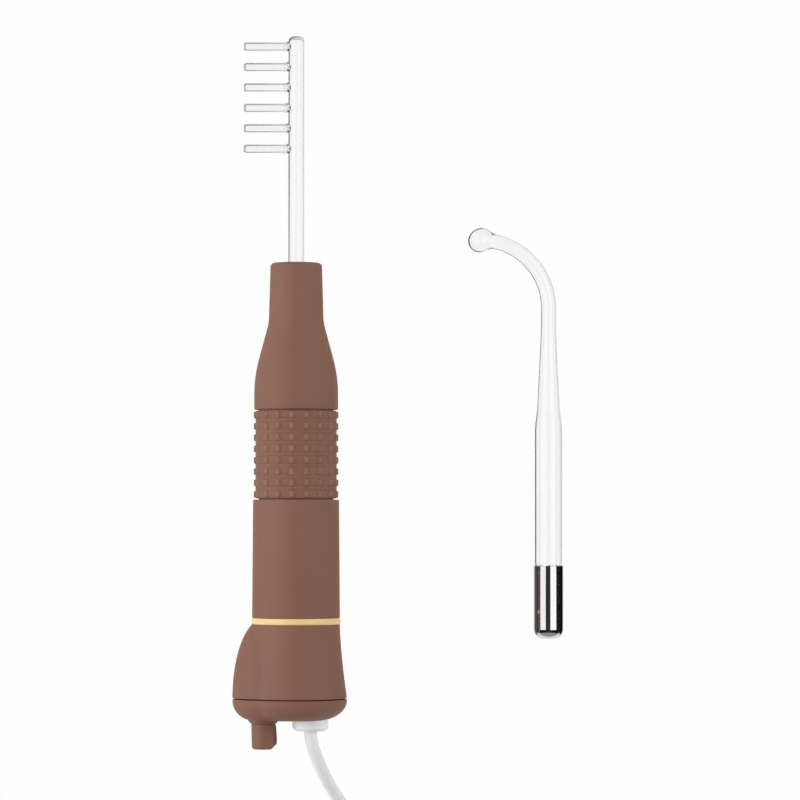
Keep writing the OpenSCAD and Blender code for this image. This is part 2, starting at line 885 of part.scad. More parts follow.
module control_knob() {
    soft = 0.8;
    rib_tip = 2.2;
    rib_foot = knob_end_r - rib_tip + rib_out;
    color(brown)
        on_wand()
            translate([-dial_x, 0, 0])
                difference() {
                    union() {
                        rotate_extrude()
                            polygon(concat(
                                [[0, knob_a], [0, knob_end_a]],
                                arc([knob_end_r - soft, knob_end_a + soft], soft, -90, 0, 4),
                                [[knob_r, knob_a - edge], [knob_r - edge, knob_a]]
                            ));
                        rotate([90, 0, 0])
                            linear_extrude(rib_w, center = true)
                                polygon([
                                    [0, knob_a - edge],
                                    [knob_r + rib_out / 4, knob_a - edge],
                                    [knob_end_r + rib_out, knob_end_a + 2 * rib_tip],
                                    [knob_end_r + rib_out, knob_end_a + rib_tip],
                                    [rib_foot, knob_end_a],
                                    [0, knob_end_a],
                                ]);
                    }
                    translate([0, 0, knob_a - shaft_in_knob - fit])
                        cylinder(r = shaft_r + running_fit, h = shaft_in_knob + 1);
                }
}

// Gland through the end cap, its collar sunk a little into the cap's curve, with a flange inside
gland_sink = 0.6;
gland_collar = 2.4;
gland_flange = 1;
gland_neck_r = gland_r - gland_collar;

module cord_gland() {
    soft = 1.9;
    color(white)
        on_wand()
            translate([gland_x, 0, 0])
                rotate_extrude()
                    polygon(concat(
                        [[cord_r + running_fit, -gland_h]],
                        arc([gland_r - soft, soft - gland_h], soft, -90, 0, 5),
                        [
                            [gland_r, gland_sink],
                            [gland_neck_r, gland_sink],
                            [gland_neck_r, cap_floor],
                            [gland_neck_r + gland_flange, cap_floor],
                            [gland_neck_r + gland_flange, gland_in_a],
                            [cord_r + running_fit, gland_in_a],
                        ]
                    ));
}

// How far a wire runs straight out of what it leaves
lead_straight = 3;

// Wires from the cord's end to the front of the board
module mains_leads() {
    lead_r = 1.2;
    in_cord = 1.3;
    on_pads = 2;
    between = (in_cord + on_pads) / 2;
    pad_up = 9;
    off_board = -board_t / 2 - lead_r;
    color("#7a4a33")
        for (side = [-1, 1])
            tube(
                [
                    for (p = [
                        [gland_x + side * in_cord, 0, gland_in_a],
                        [gland_x + side * in_cord, 0, gland_in_a + lead_straight],
                        [gland_x + side * between, off_board / 2, (gland_in_a + board_foot) / 2],
                        [gland_x + side * on_pads, off_board, board_foot - lead_straight],
                        [gland_x + side * on_pads, off_board, board_foot + pad_up],
                    ]) wand_point(p)
                ],
                lead_r, 6
            );
}

// Three wires from the dial's case to the front of the board
module dial_leads() {
    lead_r = 0.7;
    tag_x = 4;
    tag_step = 2.5;
    pad_step = 2.2;
    pad_up = 7;
    off_board = -board_t / 2 - lead_r;
    pot_top = cap_floor + pot_h;
    color("#c9c03a")
        for (i = [-1:1])
            tube(
                [
                    for (p = [
                        [-dial_x + tag_x, tag_step * i, pot_top],
                        [-dial_x + tag_x, tag_step * i, pot_top + lead_straight],
                        [-dial_x + tag_x + pad_step * i, off_board, board_foot - lead_straight],
                        [-dial_x + tag_x + pad_step * i, off_board, board_foot + pad_up],
                    ]) wand_point(p)
                ],
                lead_r, 6
            );
}

module cord_run() {
    color(cord_white)
        tube(cord_run_path, cord_r, 8);
}

module cord_coil() {
    color(cord_white)
        tube(coil_path, cord_r, 6);
}

module cord_tail() {
    color(cord_white)
        tube(cord_tail_path, cord_r, 8);
}

// Strap round both layers of the coil, on the side away from the wand
module cord_tie() {
    play = 0.7;
    turn = 250;
    near = coil_in_r - cord_r - play - tie_t;
    far = coil_out_r + cord_r + play + tie_t;
    high = coil_low_z + coil_pitch + cord_r + seat + tie_t;
    soft = 2.4;
    function band(inset) = concat(
        arc([far - soft, soft], soft - inset, -90, 0, 4),
        arc([far - soft, high - soft], soft - inset, 0, 90, 4),
        arc([near + soft, high - soft], soft - inset, 90, 180, 4),
        arc([near + soft, soft], soft - inset, 180, 270, 4)
    );
    color("#3a3a3c")
        translate([coil_centre.x, coil_centre.y, 0])
            rotate([0, 0, turn])
                rotate([90, 0, 0])
                    linear_extrude(tie_w, center = true)
                        difference() {
                            polygon(band(0));
                            polygon(band(tie_t));
                        }
}

// Flat two-pin plug with a tapered, ribbed relief
module plug_body() {
    soft = 3;
    face_soft = 1.2;
    waist_w = 17;
    waist_back = 3;
    widest = 0.45 * plug_l;
    relief_rear_r = cord_r + 0.9;
    relief_front_r = 5.4;
    ribs = 5;
    rib_deep = 0.5;
    rib_step = relief_l / (ribs + 1);
    rib_l = 0.6 * rib_step;
    sheet = 0.1;
    module slice(x, w, t) {
        translate([x, 0, 0])
            rotate([90, 0, 90])
                linear_extrude(sheet)
                    hull()
                        for (sx = [-1, 1], sy = [-1, 1])
                            translate([sx * (w / 2 - soft), sy * (t / 2 - soft)])
                                circle(r = soft, $fn = 20);
    }
    color(cord_white)
        translate(plug_at) {
            hull() {
                slice(relief_l - waist_back, waist_w, plug_t - 2 * face_soft);
                slice(relief_l + widest, plug_w, plug_t);
                slice(relief_l + plug_l - 2 * face_soft, plug_w, plug_t);
                slice(relief_l + plug_l - sheet, plug_w - 2 * face_soft, plug_t - 2 * face_soft);
            }
            rotate([0, 90, 0])
                rotate_extrude()
                    polygon(concat(
                        [[0, 0]],
                        [
                            for (i = [0:ribs - 1])
                                let (
                                    r = relief_rear_r + (relief_front_r - relief_rear_r) * i / ribs,
                                    x = i * rib_step
                                )
                                each [
                                    [r, x],
                                    [r, x + rib_l],
                                    [r - rib_deep, x + rib_l],
                                    [r - rib_deep, x + rib_step],
                                ]
                        ],
                        [[relief_front_r, ribs * rib_step], [relief_front_r, relief_l], [0, relief_l]]
                    ));
        }
}

module plug_pins() {
    tip = 1;
    color(chrome)
        translate(plug_at + [relief_l + plug_l, 0, 0])
            for (side = [-1, 1])
                translate([0, side * pin_gap / 2, 0])
                    rotate([0, 90, 0])
                        rotate_extrude()
                            polygon(concat(
                                [[0, 0], [pin_r, 0]],
                                arc([pin_r - tip, pin_l - tip], tip, 0, 90, 4),
                                [[0, pin_l]]
                            ));
}

// Metal cap of an electrode, from its closed end up
module electrode_cap() {
    centre = [plug_cap_r - plug_cap_round, plug_cap_round];
    color(chrome)
        rotate_extrude()
            polygon(concat(
                [[0, 0]],
                arc(centre, plug_cap_round, -90, 0, 6),
                [[plug_cap_r, plug_cap_len], [plug_cap_r - plug_cap_wall, plug_cap_len]],
                arc(centre, plug_cap_round - plug_cap_wall, 0, -90, 6),
                [[0, plug_cap_wall]]
            ));
}

// Closed end of the glass in its cap, a wall's depth inside the outer face where hollow
function glass_foot(wall) =
    let (r = plug_cap_round - plug_cap_wall - cement - wall)
    concat(
        [[0, plug_cap_round - r]],
        arc([plug_cap_r - plug_cap_round, plug_cap_round], r, -90, 0, 5)
    );

// An easy curve between two radii
function ease(from, to, low, high, steps) = [
    for (i = [0:steps])
        let (t = i / steps)
        [from + (to - from) * (1 - cos(180 * t)) / 2, low + (high - low) * t]
];

module comb_tube(wall) {
    neck_foot = plug_cap_len + 1;
    neck_top = seat_depth - edge;
    top = seat_depth + comb_out - wall;
    soft = 0.64 * comb_r - wall;
    tooth_line = tooth_r - (wall > 0 ? tooth_wall : 0);
    tip = tooth_reach - (wall > 0 ? tooth_wall : 0);
    tip_soft = 0.5 * tooth_line;
    rotate_extrude()
        polygon(concat(
            glass_foot(wall),
            ease(base_glass_r - wall, comb_r - wall, neck_foot, neck_top, 8),
            arc([comb_r - wall - soft, top - soft], soft, 0, 90, 5),
            [[0, top]]
        ));
    for (i = [0:teeth - 1])
        translate([0, 0, seat_depth + comb_out - tooth_first - i * tooth_pitch])
            rotate([0, -90, 0])
                rotate_extrude()
                    polygon(concat(
                        [[0, 0]],
                        wall > 0
                            ? [[tooth_line, 0]]
                            : [
                                [collar_r, 0],
                                [collar_r, comb_r + collar_l - edge],
                                [collar_r - edge / 2, comb_r + collar_l],
                                [tooth_line, comb_r + collar_l],
                            ],
                        arc([tooth_line - tip_soft, tip - tip_soft], tip_soft, 0, 90, 5),
                        [[0, tip]]
                    ));
}

module comb_glass() {
    color(glass, 0.5)
        on_wand()
            translate([0, 0, electrode_a])
                difference() {
                    comb_tube(0);
                    comb_tube(glass_wall);
                }
}

module comb_cap() {
    on_wand()
        translate([0, 0, electrode_a])
            electrode_cap();
}

module bent_tube(wall) {
    rotate_extrude()
        polygon(concat(
            glass_foot(wall),
            ease(base_glass_r - wall, taper_r - wall, stem_end, stem_end + stem_shoulder, 8),
            [
                [point_r - wall, stem_end + stem_shoulder + taper_len],
                [point_r - wall, bend_a],
                [0, bend_a],
            ]
        ));
    translate([-bend_r, 0, bend_a])
        rotate([90, 0, 0])
            rotate_extrude(angle = 90)
                translate([bend_r, 0])
                    circle(r = point_r - wall);
    translate([-bend_r, 0, ball_a])
        rotate(180)
            sphere(r = ball_r - wall);
}

module bent_glass() {
    color(glass, 0.5)
        on_spare()
            difference() {
                bent_tube(0);
                bent_tube(glass_wall);
            }
}

module bent_cap() {
    on_spare()
        electrode_cap();
}

nose_cone();
grip_sleeve();
barrel_shell();
trim_ring();
base_housing();
end_cap();
socket_tube();
retaining_ring();
contact_leaf();
contact_stud();
coil_bobbin();
secondary_winding();
primary_winding();
ferrite_core();
circuit_board();
film_capacitor();
smoothing_capacitor();
rectifier();
power_transistor();
heat_sink();
pot_case();
pot_rotor();
control_knob();
mains_leads();
dial_leads();
cord_gland();
cord_run();
cord_coil();
cord_tail();
cord_tie();
plug_body();
plug_pins();
comb_glass();
comb_cap();
bent_glass();
bent_cap();
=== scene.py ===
import json
import math

import bmesh
import bpy
from mathutils import Matrix, Vector

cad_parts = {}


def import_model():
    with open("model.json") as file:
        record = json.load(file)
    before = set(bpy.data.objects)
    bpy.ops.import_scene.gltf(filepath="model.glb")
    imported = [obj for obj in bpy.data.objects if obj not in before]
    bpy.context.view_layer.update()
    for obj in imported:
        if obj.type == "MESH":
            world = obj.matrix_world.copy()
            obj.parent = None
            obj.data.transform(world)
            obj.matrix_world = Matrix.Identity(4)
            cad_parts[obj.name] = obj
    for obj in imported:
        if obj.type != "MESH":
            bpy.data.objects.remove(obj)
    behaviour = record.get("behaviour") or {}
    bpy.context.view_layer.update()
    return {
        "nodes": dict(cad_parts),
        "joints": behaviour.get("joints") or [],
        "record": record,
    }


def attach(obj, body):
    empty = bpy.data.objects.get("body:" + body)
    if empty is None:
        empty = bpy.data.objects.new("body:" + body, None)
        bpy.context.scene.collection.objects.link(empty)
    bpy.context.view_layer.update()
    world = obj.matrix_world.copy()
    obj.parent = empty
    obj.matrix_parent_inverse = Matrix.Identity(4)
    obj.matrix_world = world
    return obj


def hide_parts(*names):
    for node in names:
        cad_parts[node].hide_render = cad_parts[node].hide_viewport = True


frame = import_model()

# Looks of a hand-held violet ray wand with a comb electrode in its nose and a bent point electrode beside it.
# Each piece is modelled in millimetres, with y along the wand or the electrode, and set down in metres.
MM = 0.001
# Steps round a turned shape, how near its points count as one, the width of a sliver, and the angle in
# degrees from which an edge shows
STEPS = 128
TUBE_STEPS = 96
TOOTH_STEPS = 64
RELIEF_STEPS = 64
PIN_STEPS = 48
BEND_STEPS = 40
SAME = 0.0005
SLIVER = 0.002
SHARP = 32
# Rounding of a moulded edge
SOFT_EDGE = 0.35

# End cap and base of the wand
CAP_H = 8.8
CAP_ROUND = 8
CAP_ROUND_MORE = 3
CAP_LIP_FIT = 0.1
CAP_LIP_WALL = 1.2
CAP_LIP_ROOT = 1
CAP_LIP_H = 3
SEAM_GAP = 0.4
BASE_H = 29.4
BASE_R = 20.4
BASE_WALL = 2.2
BASE_ROWS = 36
BASE_STEPS = 180
POD_REACH = 25.4
POD_X = 10.6
POD_OVER = 1.8
POD_BLEND = 1
DIAL_X = 13
FLARE_POWER = 1.5

# Trim ring and barrel
RING_H = 2.6
RING_PROUD = 0.25
RING_SOFT = 0.6
RING_PLAY = 0.1
BARREL_LEN = 47.2
BARREL_LOW_R = 17.55
BARREL_TOP_R = 17.2
BARREL_STEP = 2
BORE_R = 15.2
TAIL_R = 16.3
TAIL_H = 5

# Grip
GRIP_LEN = 36
GRIP_R = 16.25
SLEEVE_T = 1.3
GRIP_GROOVE = 0.5
NUB_ROWS = 8
NUB_PITCH = 4.52
NUB_COLUMNS = 18
NUB_TURN = -4
# Size of a nub across and along the wand, at its foot and at its top
NUB_FOOT = (3.2, 3.3)
NUB_TOP = (0.5, 2.15)
NUB_H = 0.7
NUB_SUNK = 0.3
NUB_SOFT = 0.08
# Share of a nub's height from which its top is painted a shade paler, a painted highlight
NUB_HIGHLIGHT_FROM = 0.6
# Half the width, and the depth, of the groove along the ends of a row of nubs
ROW_GROOVE = (0.15, 0.09)

# Nose
NOSE_LEN = 58.8
SHOULDER_R = 16.8
SKIRT_H = 6
SHOULDER_ARC = 55
SHOULDER_SLOPE = 15
NECK_ARC = 20
NECK_R = 10.9
MOUTH_R = 10.35
MOUTH_ROUND = 1.6
MOUTH_LIP_R = 6.4
MOUTH_LIP_T = 2.2
SOCKET_R = 8.3
CHAMBER_H = 17
SPIGOT_H = 8
SPIGOT_R = 14.95
ROOM_R = 12.95
GRIP_RING_DEPTH = 14

# Ferrules of both electrodes
FERRULE_R = 6
FERRULE_LEN = 29.6
FERRULE_ROUND = 4
FERRULE_WALL = 0.45
CEMENT = 0.05

# Comb electrode
SEAT_DEPTH = 34.7
COMB_R = 3.25
COMB_OUT = 91
COMB_ROUND = 2.08
COMB_WALL = 0.36
COMB_END_WALL = 0.5
# The comb narrows from this far above its ferrule to this far under the mouth
COMB_NECK = (1, 0.4)
TEETH = 6
TOOTH_PITCH = 8.22
TOOTH_FIRST = 4
TOOTH_R = 1.75
TOOTH_REACH = 21.1
TOOTH_WALL = 0.42
# Share of a tooth's radius that rounds its tip
TOOTH_ROUND = 0.5
# The tooth starts inside the tube, at this distance from its middle
TOOTH_ROOT = 1.3
TOOTH_FLOOR = 0.25
TOOTH_FLOOR_SOFT = 0.5
TOOTH_HOLE_R = 0.3
TOOTH_COLLAR_R = 2.1
TOOTH_COLLAR_L = 1.7

# Bent point electrode
STEM_R = 5.65
STEM_WALL = 0.54
# The stem swells to its radius between these distances above its ferrule
STEM_SWELL = (0.2, 1.4)
STEM_END = 83.2
STEM_SHOULDER = 12
TAPER_R = 4.5
TAPER_LEN = 29.2
POINT_R = 3.05
POINT_WALL = 0.3
POINT_STRAIGHT = 9
BEND_R = 27.3
BALL_R = 5.2
BALL_WALL = 0.58
BALL_NECK = 3.2

# Dial
KNOB_LEN = 10
KNOB_R = 4.85
KNOB_END_R = 4.6
KNOB_SOFT = 1.1
KNOB_GAP = 0.3
KNOB_PLAY = 0.05
RIB_OUT = 0.8
RIB_W = 2
RIB_SOFT = 0.3
RIB_TIP = 2.2
RIB_PROUD = 0.15
# Where the rib starts, from the knob's foot and from its axis
RIB_DOWN = 0.4
RIB_IN = 1
DIAL_COLLAR_H = 1.3
DIAL_COLLAR_FOOT_R = 6.2
DIAL_COLLAR_TOP_R = 5.4
DIAL_COLLAR_SOFT = 0.3
DIAL_COLLAR_ROOT = 1

# Cord, its tie and its plug
CORD_R = 2.6
GLAND_R = 7.2
GLAND_H = 4.3
GLAND_SINK = 0.6
GLAND_X = 5.8
GLAND_NECK_R = 4.8
GLAND_IN = 3.7
GLAND_SOFT = 1.9
GLAND_PLAY = 0.05
GLAND_LEAD = 0.4
# Points between the gland and the coil, and between the coil and the plug
CORD_RUN = [
    (-34.4, -141, 20.6),
    (-33.2, -145, 19.7),
    (-31.5, -149.5, 18.1),
    (-29.5, -154, 15.9),
    (-27.2, -158.5, 13.3),
    (-24.6, -163, 10.5),
    (-21.7, -168, 7.5),
    (-18.6, -173.2, 5.1),
    (-15.5, -179, 4),
]
CORD_TAIL = (-7.5, -186.1, 8.1)
COIL_CENTRE = (-43.3, -214)
COIL_FROM = 30
COIL_IN_R = 21.5
COIL_PITCH = 5.75
COIL_TURNS = 3.46
COIL_STEPS = 24
COIL_LOW_Z = 3.8
# Turns in which the coil climbs to its upper layer
COIL_CLIMB = 0.5
TIE_T = 0.9
TIE_W = 9
TIE_TURN = 250
TIE_PLAY = 0.7
TIE_LIFT = 0.3
TIE_SOFT = 2.4
PLUG_W = 35.3
PLUG_T = 13.7
PLUG_L = 26
PLUG_SOFT = 2.6
# Share of the plug's length where it starts to draw in, its width at the back, and the share of its
# thickness that is left there
PLUG_SHOULDER = 0.55
PLUG_BACK_W = 17
PLUG_BACK_T = 0.82
PLUG_ENTRY = 1
RELIEF_L = 21
RELIEF_LOW_R = 3.5
RELIEF_HIGH_R = 5.4
RELIEF_RIBS = 5
RELIEF_GROOVE = 0.5
# Share of a rib's pitch that is rib, and how far its side slopes
RELIEF_RIB = 0.6
RELIEF_SLOPE = 0.1
RELIEF_ROOT = 2
PIN_R = 2
PIN_L = 19
PIN_GAP = 19
PIN_ROOT = 1
PIN_ROUND = 1

# Stations along the wand, from the end cap's flat end
RING_A = CAP_H + BASE_H
BARREL_A = RING_A + RING_H
GRIP_A = BARREL_A + BARREL_LEN
NOSE_A = GRIP_A + GRIP_LEN
MOUTH_A = NOSE_A + NOSE_LEN
ELECTRODE_A = MOUTH_A - SEAT_DEPTH
KNOB_A = -DIAL_COLLAR_H - KNOB_GAP
BEND_A = STEM_END + STEM_SHOULDER + TAPER_LEN + POINT_STRAIGHT


def lying(point, along, station):
    """Where a piece lies: x to the right, y along it, z up, with the point at a station of its length."""
    along = Vector(along).normalized()
    right = along.cross(Vector((0, 0, 1))).normalized()
    turn = Matrix((right, along, right.cross(along))).transposed().to_4x4()
    return Matrix.Translation(point) @ turn @ Matrix.Scale(MM, 4) @ Matrix.Translation((0, -station, 0))


# Places of the pieces, from the frame's joints and mounts
joints = {joint["name"]: joint for joint in frame["joints"]}
mounts = {mount["name"]: mount for mount in frame["record"]["mounts"]}
swivel = joints["electrode_swivel"]
base_pin = mounts["electrode_base"]
plug_pin = mounts["mains_pins"]
WAND = lying(swivel["pos_m"], swivel["axis"], MOUTH_A - GRIP_RING_DEPTH)
COMB = WAND @ Matrix.Translation((0, ELECTRODE_A, 0))
DIAL = WAND @ Matrix.Translation((-DIAL_X, 0, 0))
GLAND = WAND @ Matrix.Translation((GLAND_X, 0, 0))
POINT = lying(base_pin["pos_m"], -Vector(base_pin["axis"]), (FERRULE_ROUND + FERRULE_LEN) / 2)
PLUG = lying(plug_pin["pos_m"], plug_pin["axis"], PIN_L / 2)


# Camera: straight above, about as far off as the photo was taken from
VIEW_CENTRE = (0.56 * MM, -3.2 * MM)
VIEW_SIDE = 320 * MM
VIEW_DISTANCE = 1600 * MM
VIEW_HEIGHT = 18 * MM
VIEW_END = 20


def camera():
    """The main view's camera."""
    data = bpy.data.cameras.new("camera")
    data.lens = data.sensor_width * VIEW_DISTANCE / VIEW_SIDE
    data.clip_end = VIEW_END
    eye = bpy.data.objects.new("camera", data)
    eye.location = (*VIEW_CENTRE, VIEW_HEIGHT + VIEW_DISTANCE)
    bpy.context.scene.collection.objects.link(eye)
    bpy.context.scene.camera = eye


# Modelling helpers
def arc(centre, radius, start, end, steps):
    """Points on an arc of a (radius, along) line, between two angles in degrees."""
    turns = [math.radians(start + (end - start) * i / steps) for i in range(steps + 1)]
    return [(centre[0] + radius * math.cos(t), centre[1] + radius * math.sin(t)) for t in turns]


def ease(start, end, low, high, steps):
    """An easy curve between two radii."""
    shares = [i / steps for i in range(steps + 1)]
    return [(start + (end - start) * (1 - math.cos(math.pi * t)) / 2, low + (high - low) * t) for t in shares]


def soften(bm, edges, offset, segments=3):
    """Round some edges."""
    bmesh.ops.bevel(
        bm, geom=edges, offset=offset, offset_type="OFFSET", segments=segments, profile=0.5,
        affect="EDGES", material=-1,
    )


def spun(line, steps=STEPS, closed=True):
    """A shape turned round the y axis from a line of (radius, along) points."""
    bm = bmesh.new()
    verts = [bm.verts.new((r, along, 0)) for r, along in line]
    edges = [bm.edges.new(pair) for pair in zip(verts, verts[1:])]
    if closed:
        edges.append(bm.edges.new((verts[-1], verts[0])))
    bmesh.ops.spin(
        bm, geom=verts + edges, cent=(0, 0, 0), axis=(0, 1, 0), angle=math.tau, steps=steps, use_merge=True
    )
    bmesh.ops.remove_doubles(bm, verts=bm.verts, dist=SAME)
    bmesh.ops.recalc_face_normals(bm, faces=bm.faces)
    return bm


def add_to(bm, other, place=None):
    """Put another shape into this one, as a separate shell."""
    if place:
        bmesh.ops.transform(other, matrix=place, verts=other.verts)
    mesh = bpy.data.meshes.new("shell")
    other.to_mesh(mesh)
    other.free()
    bm.from_mesh(mesh)
    bpy.data.meshes.remove(mesh)
    return bm


def made(name, bm):
    """A plain object from a shape."""
    mesh = bpy.data.meshes.new(name)
    bm.to_mesh(mesh)
    bm.free()
    piece = bpy.data.objects.new(name, mesh)
    bpy.context.scene.collection.objects.link(piece)
    return piece


def fused(bm, other):
    """Two shapes melted into one."""
    first, second = made("first", bm), made("second", other)
    melt = first.modifiers.new("melt", "BOOLEAN")
    melt.operation = "UNION"
    melt.solver = "EXACT"
    melt.object = second
    evaluated = first.evaluated_get(bpy.context.evaluated_depsgraph_get())
    both = bmesh.new()
    both.from_mesh(evaluated.to_mesh())
    bmesh.ops.remove_doubles(both, verts=both.verts, dist=SLIVER)
    bmesh.ops.dissolve_degenerate(both, edges=both.edges, dist=SLIVER)
    for piece in (first, second):
        bpy.data.meshes.remove(piece.data)
    return both


def finished(name, bm, place, body, look, replaced):
    """Set a shape down in the frame as a piece that rides on a body and stands for its solids."""
    bmesh.ops.transform(bm, matrix=place, verts=bm.verts)
    piece = made(name, bm)
    piece.data.shade_smooth()
    piece.data.set_sharp_from_angle(angle=math.radians(SHARP))
    piece.data.materials.append(look)
    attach(piece, body)
    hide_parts(*replaced)
    return piece


# Materials: how far the gloss varies over a moulded grain and over a metal's lines, and how thin those
# lines are for their length
GRAIN_GLOSS = 0.06
LINE_GLOSS = 0.05
LINE_THIN = 0.02


def linear(code):
    """A colour written as sRGB hex, as the shader takes it."""
    shares = [int(code[i:i + 2], 16) / 255 for i in (1, 3, 5)]
    return (*[s / 12.92 if s <= 0.04045 else ((s + 0.055) / 1.055) ** 2.4 for s in shares], 1)


def per(size):
    """Scale of a pattern whose features have this size in millimetres."""
    return 1 / (size * MM)


def waves(size):
    """Scale of a wave pattern whose bands have this width in millimetres: it has 20 radians to a unit."""
    return per(size) * math.tau / 20


def add(tree, kind, inputs=None, **settings):
    """Add a node, with its settings and with values or links on its inputs."""
    node = tree.nodes.new(kind)
    for name, value in settings.items():
        setattr(node, name, value)
    for name, value in (inputs or {}).items():
        if isinstance(value, bpy.types.NodeSocket):
            tree.links.new(value, node.inputs[name])
        else:
            node.inputs[name].default_value = value
    return node


def material(name, **values):
    """A material with one shader, whose sockets take these values."""
    made_of = bpy.data.materials.new(name)
    made_of.use_nodes = True
    shader = made_of.node_tree.nodes["Principled BSDF"]
    for socket, value in values.items():
        shader.inputs[socket.replace("_", " ")].default_value = value
    return made_of, made_of.node_tree, shader


def surface(tree, shader, clouds, colours, relief, gloss, depth):
    """Two close shades in one pattern, and a relief that varies the gloss in another."""
    tint = add(tree, "ShaderNodeMix", {
        "Factor": clouds, "A": linear(colours[0]), "B": linear(colours[1]),
    }, data_type="RGBA")
    rough = add(tree, "ShaderNodeMapRange", {"Value": relief, "To Min": gloss[0], "To Max": gloss[1]})
    bump = add(tree, "ShaderNodeBump", {"Height": relief, "Distance": depth * MM})
    tree.links.new(tint.outputs["Result"], shader.inputs["Base Color"])
    tree.links.new(rough.outputs["Result"], shader.inputs["Roughness"])
    tree.links.new(bump.outputs["Normal"], shader.inputs["Normal"])


def grained(name, colour, shade, cloud, grain, depth, roughness, **values):
    """A moulded surface: soft clouds, and a grain as coarse as it needs to show. Sizes are in millimetres."""
    made_of, tree, shader = material(name, **values)
    place = add(tree, "ShaderNodeTexCoord").outputs["Object"]
    clouds = add(tree, "ShaderNodeTexNoise", {"Vector": place, "Scale": per(cloud), "Detail": 3})
    fine = add(tree, "ShaderNodeTexNoise", {
        "Vector": place, "Scale": per(grain), "Detail": 4, "Roughness": 0.6,
    })
    gloss = (roughness - GRAIN_GLOSS, roughness + GRAIN_GLOSS)
    surface(tree, shader, clouds.outputs["Fac"], (colour, shade), fine.outputs["Fac"], gloss, depth)
    return made_of


# Soft-touch lacquer on moulded ABS: a dry, velvety surface that lights up softly towards its edges
SOFT_TOUCH = grained(
    "soft_touch_lacquer", "#8a6150", "#855c4c", cloud=14, grain=0.35, depth=0.012, roughness=0.6,
    IOR=1.4, Sheen_Weight=0.05, Sheen_Roughness=0.5, Sheen_Tint=linear("#d9b7a6"),
)
# Moulded polypropylene: waxy white, with a low gloss
WHITE_PLASTIC = grained(
    "white_polypropylene", "#f2f5f9", "#eef1f5", cloud=6, grain=0.4, depth=0.008, roughness=0.38,
    IOR=1.49, Subsurface_Weight=0.08, Subsurface_Radius=(1, 1, 1), Subsurface_Scale=1.5 * MM,
)
# PVC sheath: white, smooth and slightly waxy
CORD_PVC = grained(
    "pvc_sheath", "#f0f0f1", "#ececed", cloud=9, grain=0.5, depth=0.01, roughness=0.42,
    IOR=1.53, Subsurface_Weight=0.06, Subsurface_Radius=(1, 1, 1), Subsurface_Scale=1.5 * MM,
)


def metal(name, colour, shade, roughness, line, depth, metallic=1):
    """A turned or drawn metal: lines round the y axis, as coarse as they need to show, in millimetres."""
    made_of, tree, shader = material(name, Metallic=metallic)
    place = add(tree, "ShaderNodeTexCoord").outputs["Object"]
    round_lines = add(tree, "ShaderNodeMapping", {"Vector": place, "Scale": (LINE_THIN, 1, LINE_THIN)})
    lines = add(tree, "ShaderNodeTexNoise", {
        "Vector": round_lines.outputs["Vector"], "Scale": per(line), "Detail": 3,
    }).outputs["Fac"]
    gloss = (roughness - LINE_GLOSS, roughness + LINE_GLOSS)
    surface(tree, shader, lines, (colour, shade), lines, gloss, depth)
    return made_of


def grip_rubber():
    """Moulded rubber: as matt as the lacquer, with a painted highlight that makes the nubs' tops a shade
    paler.
    """
    made_of = grained(
        "moulded_rubber", "#8a6150", "#835a49", cloud=8, grain=0.3, depth=0.018, roughness=0.66,
        IOR=1.4, Sheen_Weight=0.05, Sheen_Roughness=0.6, Sheen_Tint=linear("#d3b09e"),
    )
    tree = made_of.node_tree
    shader = tree.nodes["Principled BSDF"]
    moulded = shader.inputs["Base Color"].links[0].from_socket
    place = add(tree, "ShaderNodeTexCoord").outputs["Object"]
    on_wand = add(tree, "ShaderNodeMapping", {
        "Vector": place,
        "Location": WAND.to_translation(),
        "Rotation": WAND.to_euler(),
        "Scale": WAND.to_scale(),
    }, vector_type="TEXTURE")
    across = add(tree, "ShaderNodeVectorMath", {
        0: on_wand.outputs["Vector"], 1: (1, 0, 1),
    }, operation="MULTIPLY")
    height = add(tree, "ShaderNodeVectorMath", {0: across.outputs["Vector"]}, operation="LENGTH")
    # Painted highlight: the nubs' tops get a paler colour, by their height over the grip
    painted_highlight = add(tree, "ShaderNodeMapRange", {
        "Value": height.outputs["Value"], "From Min": GRIP_R + NUB_HIGHLIGHT_FROM * NUB_H, "From Max": GRIP_R + NUB_H,
    })
    tint = add(tree, "ShaderNodeMix", {
        "Factor": painted_highlight.outputs["Result"], "A": moulded, "B": linear("#926a59"),
    }, data_type="RGBA")
    tree.links.new(tint.outputs["Result"], shader.inputs["Base Color"])
    return made_of


def chrome_metal():
    """Bright chrome on a drawn cap: a mirror with a faint, cloudy haze."""
    made_of, tree, shader = material("chrome_plate", Metallic=1, Base_Color=linear("#d3d4d6"))
    place = add(tree, "ShaderNodeTexCoord").outputs["Object"]
    haze = add(tree, "ShaderNodeTexNoise", {"Vector": place, "Scale": per(3), "Detail": 4})
    gloss = add(tree, "ShaderNodeMapRange", {"Value": haze.outputs["Fac"], "To Min": 0.03, "To Max": 0.1})
    tree.links.new(gloss.outputs["Result"], shader.inputs["Roughness"])
    return made_of


def clear_glass():
    """Borosilicate tube, lamp-worked: clear and bright, drawn by its own edges, with a breath of haze."""
    made_of, tree, shader = material(
        "borosilicate_glass", IOR=1.47, Transmission_Weight=1, Base_Color=linear("#f9f9f9"),
        Specular_Tint=linear("#aaaaaa"),
    )
    place = add(tree, "ShaderNodeTexCoord").outputs["Object"]
    haze = add(tree, "ShaderNodeTexNoise", {"Vector": place, "Scale": per(6), "Detail": 3})
    gloss = add(tree, "ShaderNodeMapRange", {"Value": haze.outputs["Fac"], "To Min": 0, "To Max": 0.03})
    tree.links.new(gloss.outputs["Result"], shader.inputs["Roughness"])
    return made_of


